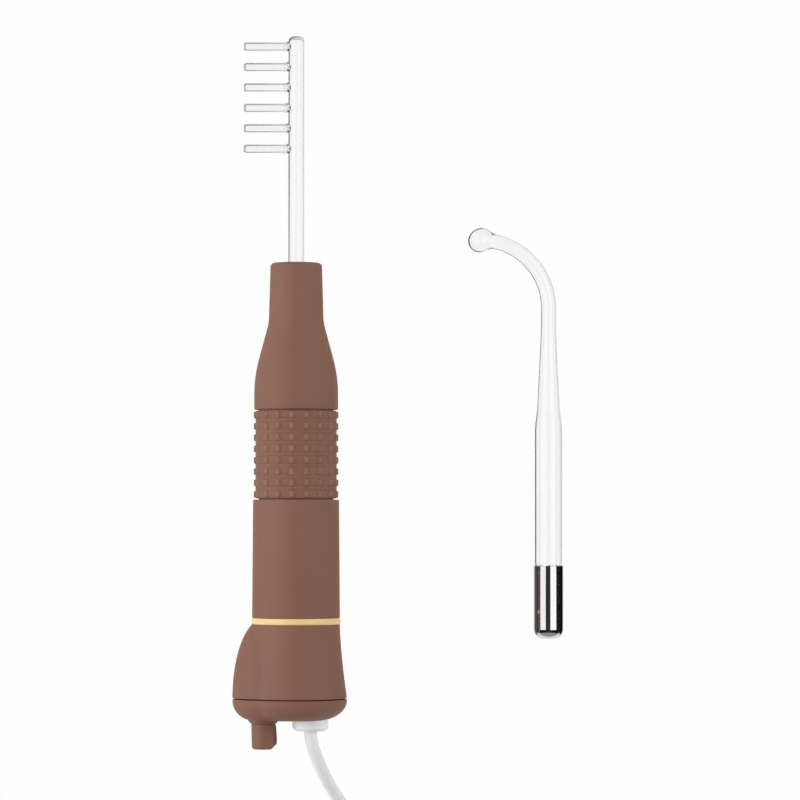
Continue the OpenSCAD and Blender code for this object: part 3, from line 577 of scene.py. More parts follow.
def strap_weave():
    """Woven nylon strap with a looped face: dark grey, matt, with a coarse weave."""
    made_of, tree, shader = material("woven_nylon", Roughness=0.85, Sheen_Weight=0.3, Sheen_Roughness=0.4)
    place = add(tree, "ShaderNodeTexCoord").outputs["Object"]
    threads = [
        add(tree, "ShaderNodeTexWave", {
            "Vector": place, "Scale": waves(0.8), "Distortion": 0.6,
        }, bands_direction=direction)
        for direction in ("X", "Y")
    ]
    weave = add(tree, "ShaderNodeMath", {
        0: threads[0].outputs["Fac"], 1: threads[1].outputs["Fac"],
    }, operation="MULTIPLY")
    tint = add(tree, "ShaderNodeMix", {
        "Factor": weave.outputs["Value"], "A": linear("#2c2c2e"), "B": linear("#4a4a4d"),
    }, data_type="RGBA")
    bump = add(tree, "ShaderNodeBump", {"Height": weave.outputs["Value"], "Distance": 0.1 * MM})
    tree.links.new(tint.outputs["Result"], shader.inputs["Base Color"])
    tree.links.new(bump.outputs["Normal"], shader.inputs["Normal"])
    return made_of


GRIP_RUBBER = grip_rubber()
# Gold lacquer on a turned ring: pale gold, satin and even
GOLD = metal("gold_lacquer", "#f8dc9c", "#f2d390", roughness=0.49, line=0.12, depth=0.006, metallic=0.12)
CHROME = chrome_metal()
GLASS = clear_glass()
STRAP = strap_weave()


# Shells of the wand
def nose_line():
    """Outer line of the nose from the grip to the mouth."""
    slope = math.radians(SHOULDER_SLOPE)
    foot = (
        SHOULDER_R - SHOULDER_ARC * (1 - math.cos(slope)),
        NOSE_A + SKIRT_H + SHOULDER_ARC * math.sin(slope),
    )
    length = (foot[0] - NECK_R - NECK_ARC * (1 - math.cos(slope))) / math.sin(slope)
    top = (foot[0] - length * math.sin(slope), foot[1] + length * math.cos(slope))
    neck = (top[0] + NECK_ARC * math.cos(slope), top[1] + NECK_ARC * math.sin(slope))
    taper = math.degrees(math.atan((NECK_R - MOUTH_R) / (MOUTH_A - MOUTH_ROUND - neck[1])))
    return [
        *arc((SHOULDER_R - SOFT_EDGE, NOSE_A + SOFT_EDGE), SOFT_EDGE, -90, 0, 4),
        *arc((SHOULDER_R - SHOULDER_ARC, NOSE_A + SKIRT_H), SHOULDER_ARC, 0, SHOULDER_SLOPE, 16),
        *arc(neck, NECK_ARC, 180 + SHOULDER_SLOPE, 180 + taper, 12),
        *arc((MOUTH_R - MOUTH_ROUND, MOUTH_A - MOUTH_ROUND), MOUTH_ROUND, 0, 90, 10),
    ]


def nose():
    """Front shell: shoulder, neck and the mouth that an electrode goes into."""
    inner = [
        *arc((MOUTH_LIP_R + SOFT_EDGE, MOUTH_A - SOFT_EDGE), SOFT_EDGE, 90, 180, 4),
        (MOUTH_LIP_R, MOUTH_A - MOUTH_LIP_T),
        (SOCKET_R, MOUTH_A - MOUTH_LIP_T),
        (SOCKET_R, NOSE_A + CHAMBER_H),
        (ROOM_R, NOSE_A + CHAMBER_H),
        (ROOM_R, NOSE_A + SPIGOT_H),
        (SPIGOT_R, NOSE_A + SPIGOT_H),
        (SPIGOT_R, NOSE_A),
    ]
    bm = spun(nose_line() + inner)
    return finished("nose_shell", bm, WAND, "handpiece", SOFT_TOUCH, ["nose_cone"])


def nub():
    """One raised nub of the grip: steep at its ends, sloping at its sides, its foot sunk into the sleeve."""
    bm = bmesh.new()
    bmesh.ops.create_cube(bm, size=1)
    bmesh.ops.scale(bm, vec=(*NUB_FOOT, NUB_H + NUB_SUNK), verts=bm.verts)
    bmesh.ops.translate(bm, vec=(0, 0, (NUB_H - NUB_SUNK) / 2), verts=bm.verts)
    top = [vert for vert in bm.verts if vert.co.z > 0]
    bmesh.ops.scale(bm, vec=(NUB_TOP[0] / NUB_FOOT[0], NUB_TOP[1] / NUB_FOOT[1], 1), verts=top)
    upper = [edge for edge in bm.edges if max(vert.co.z for vert in edge.verts) > 0]
    soften(bm, upper, NUB_SOFT)
    for vert in bm.verts:
        turn = vert.co.x / GRIP_R
        radius = GRIP_R + vert.co.z
        vert.co = (radius * math.sin(turn), vert.co.y, radius * math.cos(turn))
    return bm


def grip():
    """Soft sleeve with rows of nubs, and a fine groove along each row's ends."""
    low, high = GRIP_A + GRIP_GROOVE, NOSE_A - GRIP_GROOVE
    middle = (GRIP_A + NOSE_A) / 2
    rows = [middle + (row - (NUB_ROWS - 1) / 2) * NUB_PITCH for row in range(NUB_ROWS)]
    ends = [along + side * NUB_FOOT[1] / 2 for along in rows for side in (-1, 1)]
    grooves = [
        (GRIP_R - deep, end + aside)
        for end in ends[1:-1]
        for aside, deep in ((-ROW_GROOVE[0], 0), (0, ROW_GROOVE[1]), (ROW_GROOVE[0], 0))
    ]
    bm = spun([
        (GRIP_R - SLEEVE_T, low),
        *arc((GRIP_R - SOFT_EDGE, low + SOFT_EDGE), SOFT_EDGE, -90, 0, 4),
        *grooves,
        *arc((GRIP_R - SOFT_EDGE, high - SOFT_EDGE), SOFT_EDGE, 0, 90, 4),
        (GRIP_R - SLEEVE_T, high),
    ])
    for along in rows:
        for column in range(NUB_COLUMNS):
            turn = math.radians(NUB_TURN + 360 * column / NUB_COLUMNS)
            add_to(bm, nub(), Matrix.Translation((0, along, 0)) @ Matrix.Rotation(turn, 4, "Y"))
    return finished("grip_rubber_sleeve", bm, WAND, "handpiece", GRIP_RUBBER, ["grip_sleeve"])


def barrel():
    """Rear shell, with a tail in the base and a spigot that carries the grip and the nose."""
    bm = spun([
        (BORE_R, RING_A - TAIL_H),
        (TAIL_R, RING_A - TAIL_H),
        (TAIL_R, BARREL_A),
        *arc((BARREL_LOW_R - SOFT_EDGE, BARREL_A + SOFT_EDGE), SOFT_EDGE, -90, 0, 4),
        *arc((BARREL_TOP_R - SOFT_EDGE, GRIP_A - SOFT_EDGE), SOFT_EDGE, 0, 90, 4),
        (SPIGOT_R, GRIP_A),
        (SPIGOT_R, NOSE_A + SPIGOT_H - SOFT_EDGE),
        (ROOM_R, NOSE_A + SPIGOT_H - SOFT_EDGE),
        (ROOM_R, GRIP_A - BARREL_STEP),
        (BORE_R, GRIP_A - BARREL_STEP),
    ])
    return finished("barrel_tube", bm, WAND, "handpiece", SOFT_TOUCH, ["barrel_shell"])


def gold_ring():
    """Trim ring with rounded edges, between the barrel and the base."""
    inner_r = TAIL_R + RING_PLAY
    round_r = BARREL_LOW_R + RING_PROUD - RING_SOFT
    bm = spun([
        (inner_r, RING_A),
        *arc((round_r, RING_A + RING_SOFT), RING_SOFT, -90, 0, 6),
        *arc((round_r, BARREL_A - RING_SOFT), RING_SOFT, 0, 90, 6),
        (inner_r, BARREL_A),
    ])
    return finished("gold_ring", bm, WAND, "handpiece", GOLD, ["trim_ring"])


def closing(height):
    """How far the pod has closed in towards the barrel, on an ellipse that ends a little above the base."""
    return 1 - math.sqrt(1 - (height / (BASE_H + POD_OVER)) ** 2)


def outline_r(turn, height):
    """Radius of the base at a turn from the x axis: a round flare, and the dial's pod drawn out of it."""
    flare = BARREL_LOW_R + (BASE_R - BARREL_LOW_R) * (1 - height / BASE_H) ** FLARE_POWER
    pod_r = POD_REACH - POD_X - (POD_REACH - BARREL_LOW_R) * closing(height) / closing(BASE_H)
    room = pod_r ** 2 - (POD_X * math.sin(turn)) ** 2
    if room < 0 or math.cos(turn) > 0:
        return flare
    pod = math.sqrt(room) - POD_X * math.cos(turn)
    near = max(POD_BLEND - abs(flare - pod), 0) / POD_BLEND
    return min(max(flare, pod) + near ** 2 * POD_BLEND / 4, max(flare, POD_REACH))


def draw_out_pod(verts, height_of, inset_of):
    """Move the points of a round shape out to the base's outline."""
    for vert in verts:
        turn = math.atan2(vert.co.z, vert.co.x)
        radius = outline_r(turn, height_of(vert)) - inset_of(vert, turn)
        vert.co = (radius * math.cos(turn), vert.co.y, radius * math.sin(turn))


def base():
    """Flared base shell with the dial's pod."""
    line = [(BASE_R, CAP_H + BASE_H * i / BASE_ROWS) for i in range(BASE_ROWS + 1)]
    bm = spun(line, steps=BASE_STEPS, closed=False)
    draw_out_pod(bm.verts, lambda vert: min(max(vert.co.y - CAP_H, 0), BASE_H), lambda vert, turn: 0)
    rims = [edge for edge in bm.edges if edge.is_boundary]
    grown = bmesh.ops.extrude_edge_only(bm, edges=rims)["geom"]
    inner = [vert for vert in grown if isinstance(vert, bmesh.types.BMVert)]
    for vert in inner:
        across = Vector((vert.co.x, 0, vert.co.z))
        at_ring = vert.co.y > (CAP_H + RING_A) / 2
        vert.co -= across.normalized() * (across.length - TAIL_R if at_ring else BASE_WALL)
    inner_edges = [edge for edge in bm.edges if edge.is_boundary]
    bmesh.ops.bridge_loops(bm, edges=inner_edges)
    soften(bm, rims, SOFT_EDGE)
    bmesh.ops.recalc_face_normals(bm, faces=bm.faces)
    return finished("base_shell", bm, WAND, "handpiece", SOFT_TOUCH, ["base_housing"])


def cap_inset(vert, turn):
    """How far a point of the end cap lies inside its outline: its corner widens away from the dial."""
    wider = CAP_ROUND_MORE * (1 + math.cos(turn)) / 2
    return (BASE_R - math.hypot(vert.co.x, vert.co.z)) * (1 + wider / CAP_ROUND)


def end_cap():
    """Rounded end cap with the lip inside the seam and the dial's collar."""
    top = CAP_H - SEAM_GAP
    bm = spun([
        (0, 0),
        *arc((BASE_R - CAP_ROUND, CAP_ROUND), CAP_ROUND, -90, 0, 20),
        *arc((BASE_R - SOFT_EDGE, top - SOFT_EDGE), SOFT_EDGE, 0, 90, 4),
        (0, top),
    ], steps=BASE_STEPS, closed=False)
    flat_r = BASE_R - CAP_ROUND
    outer = [vert for vert in bm.verts if math.hypot(vert.co.x, vert.co.z) > flat_r - SAME]
    draw_out_pod(outer, lambda vert: 0, cap_inset)
    lip_r = BORE_R - CAP_LIP_FIT
    lip_in = lip_r - CAP_LIP_WALL
    lip_low, lip_high = top - CAP_LIP_ROOT, top + CAP_LIP_H
    add_to(bm, spun([(lip_in, lip_low), (lip_r, lip_low), (lip_r, lip_high), (lip_in, lip_high)]))
    round_at = (DIAL_COLLAR_TOP_R - DIAL_COLLAR_SOFT, DIAL_COLLAR_SOFT - DIAL_COLLAR_H)
    collar = spun([
        (0, DIAL_COLLAR_ROOT),
        (DIAL_COLLAR_FOOT_R, DIAL_COLLAR_ROOT),
        (DIAL_COLLAR_FOOT_R, 0),
        *arc(round_at, DIAL_COLLAR_SOFT, 0, -90, 4),
        (0, -DIAL_COLLAR_H),
    ], closed=False)
    add_to(bm, collar, Matrix.Translation((-DIAL_X, 0, 0)))
    return finished("end_shell", bm, WAND, "handpiece", SOFT_TOUCH, ["end_cap"])


def dial_knob():
    """Knob with a pointer rib, and with its corner cut off under the rib."""
    foot = KNOB_A + KNOB_GAP - KNOB_PLAY
    end = KNOB_A - KNOB_LEN
    bm = spun([
        (0, end),
        *arc((KNOB_END_R - KNOB_SOFT, end + KNOB_SOFT), KNOB_SOFT, -90, 0, 6),
        *arc((KNOB_R - SOFT_EDGE, foot - SOFT_EDGE), SOFT_EDGE, 0, 90, 4),
        (0, foot),
    ], closed=False)
    cut = bmesh.ops.bisect_plane(
        bm, geom=bm.verts[:] + bm.edges[:] + bm.faces[:],
        plane_co=(KNOB_END_R + RIB_OUT - RIB_PROUD, end + RIB_TIP, 0), plane_no=(1, -1, 0), clear_outer=True,
    )["geom_cut"]
    cut_edges = [edge for edge in cut if isinstance(edge, bmesh.types.BMEdge)]
    bmesh.ops.holes_fill(bm, edges=cut_edges)
    soften(bm, cut_edges, RIB_SOFT)
    rib = bmesh.new()
    rib_r = KNOB_END_R + RIB_OUT
    rib_line = [
        (RIB_IN, KNOB_A - RIB_DOWN),
        (KNOB_R + RIB_OUT / 4, KNOB_A - RIB_DOWN),
        (rib_r, end + 2 * RIB_TIP),
        (rib_r, end + RIB_TIP),
        (rib_r - RIB_TIP, end),
        (RIB_IN, end),
    ]
    side = rib.faces.new([rib.verts.new((x, along, -RIB_W / 2)) for x, along in rib_line])
    raised = bmesh.ops.extrude_face_region(rib, geom=[side])["geom"]
    far_side = [vert for vert in raised if isinstance(vert, bmesh.types.BMVert)]
    bmesh.ops.translate(rib, vec=(0, 0, RIB_W), verts=far_side)
    soften(rib, rib.edges, RIB_SOFT)
    bmesh.ops.recalc_face_normals(rib, faces=rib.faces)
    bm = fused(bm, rib)
    return finished("dial_knob", bm, DIAL, "knob", SOFT_TOUCH, ["control_knob"])


# Cord
def cord_gland():
    """Round-shouldered gland in the end cap, with the cord's hole."""
    hole_r = CORD_R + GLAND_PLAY
    bm = spun([
        (hole_r, GLAND_LEAD - GLAND_H),
        (CORD_R + GLAND_LEAD, -GLAND_H),
        *arc((GLAND_R - GLAND_SOFT, GLAND_SOFT - GLAND_H), GLAND_SOFT, -90, 0, 10),
        (GLAND_R, GLAND_SINK),
        (GLAND_NECK_R, GLAND_SINK),
        (GLAND_NECK_R, GLAND_IN),
        (hole_r, GLAND_IN),
    ])
    return finished("gland", bm, GLAND, "handpiece", WHITE_PLASTIC, ["cord_gland"])


def coil_point(turns):
    """The coil's line after some turns: it spirals in, climbs a layer where it reverses, and spirals out."""
    radius = COIL_IN_R + COIL_PITCH * abs(turns - COIL_TURNS)
    turn = math.radians(COIL_FROM - 360 * turns)
    share = min(max((turns - COIL_TURNS) / COIL_CLIMB + 0.5, 0), 1)
    height = COIL_LOW_Z + COIL_PITCH * share ** 2 * (3 - 2 * share)
    return Vector((*COIL_CENTRE, height)) + radius * Vector((math.cos(turn), math.sin(turn), 0))


def coil_direction(turns):
    """The way that the coil's line runs after some turns."""
    turn = math.radians(COIL_FROM - 360 * turns)
    return Vector((math.sin(turn), -math.cos(turn), 0))


def cord_route():
    """The cord's line in millimetres, from inside the gland to the plug."""
    coil_count = round(2 * COIL_TURNS * COIL_STEPS)
    last = coil_count / COIL_STEPS
    step = 2 * CORD_R
    plug_foot = PLUG @ Vector((0, -PLUG_L - RELIEF_L, 0)) / MM
    start = coil_point(0) - step * coil_direction(0)
    end = coil_point(last) + step * coil_direction(last)
    return [
        GLAND @ Vector((0, GLAND_IN, 0)) / MM,
        GLAND @ Vector((0, -GLAND_H, 0)) / MM,
        *[Vector(place) for place in CORD_RUN],
        start - step * coil_direction(0),
        start,
        *[coil_point(i / COIL_STEPS) for i in range(coil_count + 1)],
        end,
        end + step * coil_direction(last),
        Vector(CORD_TAIL),
        plug_foot - Vector((step, 0, 0)),
        plug_foot + Vector((PLUG_ENTRY, 0, 0)),
    ]


def mains_cord():
    """The whole cord as one tube, out of the gland, round the coil and into the plug."""
    data = bpy.data.curves.new("mains_cord", "CURVE")
    data.dimensions = "3D"
    data.bevel_depth = CORD_R * MM
    data.bevel_resolution = 6
    data.resolution_u = 4
    data.use_fill_caps = True
    route = cord_route()
    spline = data.splines.new("BEZIER")
    spline.bezier_points.add(len(route) - 1)
    for knot, point in zip(spline.bezier_points, route):
        knot.co = point * MM
        knot.handle_left_type = knot.handle_right_type = "AUTO"
    data.materials.append(CORD_PVC)
    piece = bpy.data.objects.new("mains_cord", data)
    bpy.context.scene.collection.objects.link(piece)
    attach(piece, "handpiece")
    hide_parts("cord_run", "cord_coil", "cord_tail")
    return piece


def cord_strap():
    """Strap round both layers of the coil."""
    near = COIL_IN_R - CORD_R - TIE_PLAY - TIE_T
    far = COIL_IN_R + COIL_PITCH * COIL_TURNS + CORD_R + TIE_PLAY + TIE_T
    high = COIL_LOW_Z + COIL_PITCH + CORD_R + TIE_LIFT + TIE_T
    bm = bmesh.new()
    corners = [
        *arc((far - TIE_SOFT, TIE_SOFT), TIE_SOFT, -90, 0, 6),
        *arc((far - TIE_SOFT, high - TIE_SOFT), TIE_SOFT, 0, 90, 6),
        *arc((near + TIE_SOFT, high - TIE_SOFT), TIE_SOFT, 90, 180, 6),
        *arc((near + TIE_SOFT, TIE_SOFT), TIE_SOFT, 180, 270, 6),
    ]
    verts = [bm.verts.new((x, -TIE_W / 2, z)) for x, z in corners]
    loop = [bm.edges.new(pair) for pair in zip(verts, verts[1:] + verts[:1])]
    wide = bmesh.ops.extrude_edge_only(bm, edges=loop)["geom"]
    bmesh.ops.translate(bm, vec=(0, TIE_W, 0), verts=[v for v in wide if isinstance(v, bmesh.types.BMVert)])
    bmesh.ops.recalc_face_normals(bm, faces=bm.faces)
    bmesh.ops.solidify(bm, geom=bm.faces, thickness=TIE_T)
    bmesh.ops.recalc_face_normals(bm, faces=bm.faces)
    place = (
        Matrix.Scale(MM, 4)
        @ Matrix.Translation((*COIL_CENTRE, 0))
        @ Matrix.Rotation(math.radians(TIE_TURN), 4, "Z")
    )
    return finished("cord_strap", bm, place, "handpiece", STRAP, ["cord_tie"])


def plug_moulding():
    """Flat plug: a soft block drawn in towards the cord, and a ribbed relief."""
    bm = bmesh.new()
    bmesh.ops.create_cube(bm, size=1)
    bmesh.ops.scale(bm, vec=(PLUG_W, PLUG_L, PLUG_T), verts=bm.verts)
    bmesh.ops.translate(bm, vec=(0, -PLUG_L / 2, 0), verts=bm.verts)
    bmesh.ops.bisect_plane(
        bm, geom=bm.verts[:] + bm.edges[:] + bm.faces[:], plane_co=(0, -PLUG_SHOULDER * PLUG_L, 0),
        plane_no=(0, 1, 0),
    )
    back = [vert for vert in bm.verts if vert.co.y < SAME - PLUG_L]
    bmesh.ops.scale(bm, vec=(PLUG_BACK_W / PLUG_W, 1, PLUG_BACK_T), verts=back)
    soften(bm, bm.edges, PLUG_SOFT, segments=5)
    pitch = RELIEF_L / (RELIEF_RIBS + 1)
    line = [(0, -PLUG_L - RELIEF_L)]
    for i in range(RELIEF_RIBS):
        radius = RELIEF_LOW_R + (RELIEF_HIGH_R - RELIEF_LOW_R) * i / RELIEF_RIBS
        foot = -PLUG_L - RELIEF_L + i * pitch
        top = foot + RELIEF_RIB * pitch
        line += [(radius, foot), (radius, top)]
        line += [(radius - RELIEF_GROOVE, top + RELIEF_SLOPE), (radius - RELIEF_GROOVE, foot + pitch)]
    root = RELIEF_ROOT - PLUG_L
    line += [(RELIEF_HIGH_R, -PLUG_L - pitch), (RELIEF_HIGH_R, root), (0, root)]
    add_to(bm, spun(line, steps=RELIEF_STEPS, closed=False))
    return finished("plug_moulding", bm, PLUG, "handpiece", CORD_PVC, ["plug_body"])


def plug_prongs():
    """Two round pins with rounded ends."""
    bm = bmesh.new()
    for side in (-1, 1):
        prong = spun([
            (0, -PIN_ROOT),
            (PIN_R, -PIN_ROOT),
            *arc((PIN_R - PIN_ROUND, PIN_L - PIN_ROUND), PIN_ROUND, 0, 90, 6),
            (0, PIN_L),
        ], steps=PIN_STEPS, closed=False)
        add_to(bm, prong, Matrix.Translation((side * PIN_GAP / 2, 0, 0)))
    return finished("plug_prongs", bm, PLUG, "handpiece", CHROME, ["plug_pins"])


# Electrodes
def glass_foot(wall):
    """Closed end of the glass in its ferrule."""
    radius = FERRULE_ROUND - FERRULE_WALL - CEMENT - wall
    return [(0, FERRULE_ROUND - radius), *arc((FERRULE_R - FERRULE_ROUND, FERRULE_ROUND), radius, -90, 0, 8)]


def comb_shell(wall):
    """Comb's tube with its teeth, a wall's depth inside the outer face."""
    base_r = FERRULE_R - FERRULE_WALL - CEMENT
    top = SEAT_DEPTH + COMB_OUT - (COMB_END_WALL if wall else 0)
    soft = COMB_ROUND - wall
    tube = spun([
        *glass_foot(wall),
        *ease(base_r - wall, COMB_R - wall, FERRULE_LEN + COMB_NECK[0], SEAT_DEPTH - COMB_NECK[1], 12),
        *arc((COMB_R - wall - soft, top - soft), soft, 0, 90, 8),
        (0, top),
    ], steps=TUBE_STEPS, closed=False)
    radius = TOOTH_R - (TOOTH_WALL if wall else 0)
    tip = TOOTH_REACH - (TOOTH_WALL if wall else 0)
    soft = TOOTH_ROUND * radius
    bead = TOOTH_COLLAR_R - TOOTH_R
    collar = [
        (TOOTH_COLLAR_R, TOOTH_ROOT),
        *arc((TOOTH_R, COMB_R + TOOTH_COLLAR_L - bead), bead, 0, 80, 6),
        (radius, COMB_R + TOOTH_COLLAR_L),
    ]
    floor_a = COMB_R + TOOTH_FLOOR
    hole = [
        (TOOTH_HOLE_R, TOOTH_ROOT),
        (TOOTH_HOLE_R, floor_a),
        *arc((radius - TOOTH_FLOOR_SOFT, floor_a + TOOTH_FLOOR_SOFT), TOOTH_FLOOR_SOFT, -90, 0, 6),
    ]
    teeth = bmesh.new()
    for i in range(TEETH):
        tooth = spun([
            (0, TOOTH_ROOT),
            *(hole if wall else collar),
            *arc((radius - soft, tip - soft), soft, 0, 90, 8),
            (0, tip),
        ], steps=TOOTH_STEPS, closed=False)
        along = SEAT_DEPTH + COMB_OUT - TOOTH_FIRST - i * TOOTH_PITCH
        add_to(teeth, tooth, Matrix.Translation((0, along, 0)) @ Matrix.Rotation(math.radians(90), 4, "Z"))
    return fused(tube, teeth)


def hollow(outer, inner):
    """A glass shell from its outer and inner faces."""
    bmesh.ops.reverse_faces(inner, faces=inner.faces)
    return add_to(outer, inner)


def comb():
    """Comb electrode's glass, with a hollow that runs into its teeth."""
    bm = hollow(comb_shell(0), comb_shell(COMB_WALL))
    return finished("comb_tube", bm, COMB, "comb_electrode", GLASS, ["comb_glass"])


def point_shell(stem_wall=0, wall=0, ball_wall=0):
    """Bent electrode's tube: wide stem, taper, bend and ball, as deep inside the outer face as its walls."""
    foot_r = FERRULE_R - FERRULE_WALL - CEMENT - stem_wall
    stem_r = STEM_R - stem_wall
    radius = POINT_R - wall
    ball = BALL_R - ball_wall
    neck = BALL_NECK + wall
    bm = spun([
        *glass_foot(stem_wall),
        *ease(foot_r, stem_r, FERRULE_LEN + STEM_SWELL[0], FERRULE_LEN + STEM_SWELL[1], 6),
        *ease(stem_r, TAPER_R - wall, STEM_END, STEM_END + STEM_SHOULDER, 16),
        (radius, BEND_A - POINT_STRAIGHT),
        (radius, BEND_A),
    ], steps=TUBE_STEPS, closed=False)
    neck_foot = math.sqrt((ball + neck) ** 2 - (radius + neck) ** 2)
    bend = math.pi / 2 - 2 * math.asin(neck_foot / 2 / BEND_R)
    rim = [edge for edge in bm.edges if edge.is_boundary]
    ends = {vert for edge in rim for vert in edge.verts}
    turned = bmesh.ops.spin(
        bm, geom=[*ends, *rim], cent=(-BEND_R, BEND_A, 0), axis=(0, 0, 1), angle=bend, steps=BEND_STEPS
    )["geom_last"]
    ring = [vert for vert in turned if isinstance(vert, bmesh.types.BMVert)]
    ring_edges = [edge for edge in turned if isinstance(edge, bmesh.types.BMEdge)]
    centre = Vector((-BEND_R, BEND_A + BEND_R, 0))
    at = sum((vert.co for vert in ring), Vector()) / len(ring)
    back = (at - centre).normalized()
    lean = math.degrees(math.atan2(radius + neck, neck_foot))
    neck_line = arc((radius + neck, neck_foot), neck, 180, 270 - lean, 6)[1:]
    ball_line = [(wide, along) for along, wide in arc((0, 0), ball, lean, 180, 20)[1:-1]]
    now = radius
    for wide, along in neck_line + ball_line:
        grown = bmesh.ops.extrude_edge_only(bm, edges=ring_edges)["geom"]
        ring = [vert for vert in grown if isinstance(vert, bmesh.types.BMVert)]
        ring_edges = [edge for edge in grown if isinstance(edge, bmesh.types.BMEdge)]
        there = centre + back * along
        bmesh.ops.translate(bm, vec=there - at, verts=ring)
        bmesh.ops.scale(bm, vec=(wide / now,) * 3, space=Matrix.Translation(-there), verts=ring)
        at, now = there, wide
    bmesh.ops.holes_fill(bm, edges=ring_edges)
    bmesh.ops.recalc_face_normals(bm, faces=bm.faces)
    return bm


def point():
    """Bent electrode's glass, hollow right into its ball."""
    bm = hollow(point_shell(), point_shell(STEM_WALL, POINT_WALL, BALL_WALL))
    return finished("point_tube", bm, POINT, "bent_electrode", GLASS, ["bent_glass"])


def ferrule(name, place, body, replaced):
    """Drawn metal cap on an electrode's foot, with a rolled rim."""
    centre = (FERRULE_R - FERRULE_ROUND, FERRULE_ROUND)
    rim = FERRULE_WALL / 2
    bm = spun([
        (0, 0),
        *arc(centre, FERRULE_ROUND, -90, 0, 14),
        *arc((FERRULE_R - rim, FERRULE_LEN - rim), rim, 0, 180, 8),
        *arc(centre, FERRULE_ROUND - FERRULE_WALL, 0, -90, 10),
        (0, FERRULE_WALL),
    ], closed=False)
    return finished(name, bm, place, body, CHROME, [replaced])


# Inside the wand
def enamelled_wire(name, wire):
    """Enamelled copper in close turns round the y axis: reddish, shining in fine threads."""
    made_of, tree, shader = material(name, Metallic=1, Coat_Weight=0.5)
    place = add(tree, "ShaderNodeTexCoord").outputs["Object"]
    turns = add(tree, "ShaderNodeTexWave", {
        "Vector": place, "Scale": waves(wire), "Distortion": 0.3,
    }, bands_direction="Y").outputs["Fac"]
    surface(tree, shader, turns, ("#8f4a26", "#c97a4a"), turns, (0.45, 0.3), wire / 2)
    return made_of


def inner_pieces():
    """Finishes of the pieces that the shells hold."""
    # Turned nylon: ivory, waxy and close-grained
    nylon = grained(
        "turned_nylon", "#e3dfd3", "#dcd7ca", cloud=5, grain=0.4, depth=0.008, roughness=0.45, IOR=1.53,
    )
    # Rubber of the ring that grips the electrode: black-grey and dull
    rubber = grained("nitrile_rubber", "#3b3b3d", "#343436", cloud=3, grain=0.3, depth=0.01, roughness=0.7)
    # Rolled brass: yellow, with fine lines
    brass = metal("rolled_brass", "#d9b566", "#cca653", roughness=0.3, line=0.1, depth=0.004)
    # Sintered ferrite: dark, dry and slightly gritty
    ferrite = grained(
        "sintered_ferrite", "#4a4a4e", "#3f3f43", cloud=3, grain=0.2, depth=0.02, roughness=0.65,
    )
    # Lacquered glass-epoxy board: green with a cloudy weave under the gloss
    board = grained(
        "glass_epoxy_board", "#2f6b45", "#285f3b", cloud=2, grain=0.5, depth=0.006, roughness=0.35, IOR=1.55,
    )
    # Moulded epoxy of the component cases: charcoal, satin
    epoxy = grained("moulded_epoxy", "#434045", "#3a373b", cloud=3, grain=0.25, depth=0.008, roughness=0.5)
    # Lacquered polyester film wound into a block: dull red
    film = grained("dipped_polyester", "#a2462f", "#953d27", cloud=3, grain=0.3, depth=0.01, roughness=0.4)
    # Sleeve of the smoothing capacitor: dark blue and smooth
    sleeve = grained("shrink_sleeve", "#2d3a66", "#28345c", cloud=4, grain=0.6, depth=0.004, roughness=0.35)
    # Extruded aluminium: pale grey with drawing lines
    aluminium = metal("extruded_aluminium", "#c9ccd0", "#bfc2c6", roughness=0.38, line=0.15, depth=0.006)
    # Phenolic case of the dial's resistor: brown-black, satin
    phenolic = grained(
        "moulded_phenolic", "#4b3b33", "#42332c", cloud=3, grain=0.3, depth=0.01, roughness=0.5,
    )
    # Ground steel of the dial's shaft: grey, bright in lines
    steel = metal("ground_steel", "#b7b9bc", "#acaeb2", roughness=0.3, line=0.08, depth=0.003)
    # PVC of the single wires: warm grey and waxy
    wire = grained("wire_insulation", "#8d8378", "#84796e", cloud=4, grain=0.4, depth=0.006, roughness=0.45)
    looks = {
        nylon: ["socket_tube", "coil_bobbin"],
        rubber: ["retaining_ring"],
        brass: ["contact_leaf", "contact_stud"],
        enamelled_wire("fine_enamelled_copper", 0.12): ["secondary_winding"],
        enamelled_wire("enamelled_copper", 0.5): ["primary_winding"],
        ferrite: ["ferrite_core"],
        board: ["circuit_board"],
        epoxy: ["rectifier", "power_transistor"],
        film: ["film_capacitor"],
        sleeve: ["smoothing_capacitor"],
        aluminium: ["heat_sink"],
        phenolic: ["pot_case"],
        steel: ["pot_rotor"],
        wire: ["mains_leads", "dial_leads"],
    }
    for look, names in looks.items():
        for name in names:
            node = frame["nodes"][name]
            node.data.materials.clear()
            node.data.materials.append(look)


# Floor: how much of its own light the camera sees
FLOOR_SIDE = 6
FLOOR_DROP = 0.1
FLOOR_GLOW = 0.975

# Light of the studio on dull surfaces, in mirrors and through glass, by where a ray goes
LEFT, RIGHT = (-1, 0, 0), (1, 0, 0)
NEAR, FAR = (0, -1, 0), (0, 1, 0)
DOWN, UP = (0, 0, -1), (0, 0, 1)
SKY_LEFT = 7.1
SKY_RIGHT = 4.1
SKY_TOP = 0.08
SKY_ENDS = 0.05
MIRROR_DARK = 0.008
MIRROR_TOP = 0.045
MIRROR_LOW = 0.125
MIRROR_END = 0.38
GLASS_DARK = 0.04
GLASS_RIGHT = 0.25
GLASS_FAR_RIGHT = 0.6
GLASS_NEAR = 0.92

# Lamps: size, distance, how far they stand behind the middle, and the lean and brightness of each
LAMP_WIDE = 0.75
LAMP_LONG = 0.9
LAMP_DISTANCE = 0.9
LAMP_BACK = 0.22
LEFT_LAMP = (-43, 1.28)
RIGHT_LAMP = (39, 1.4)


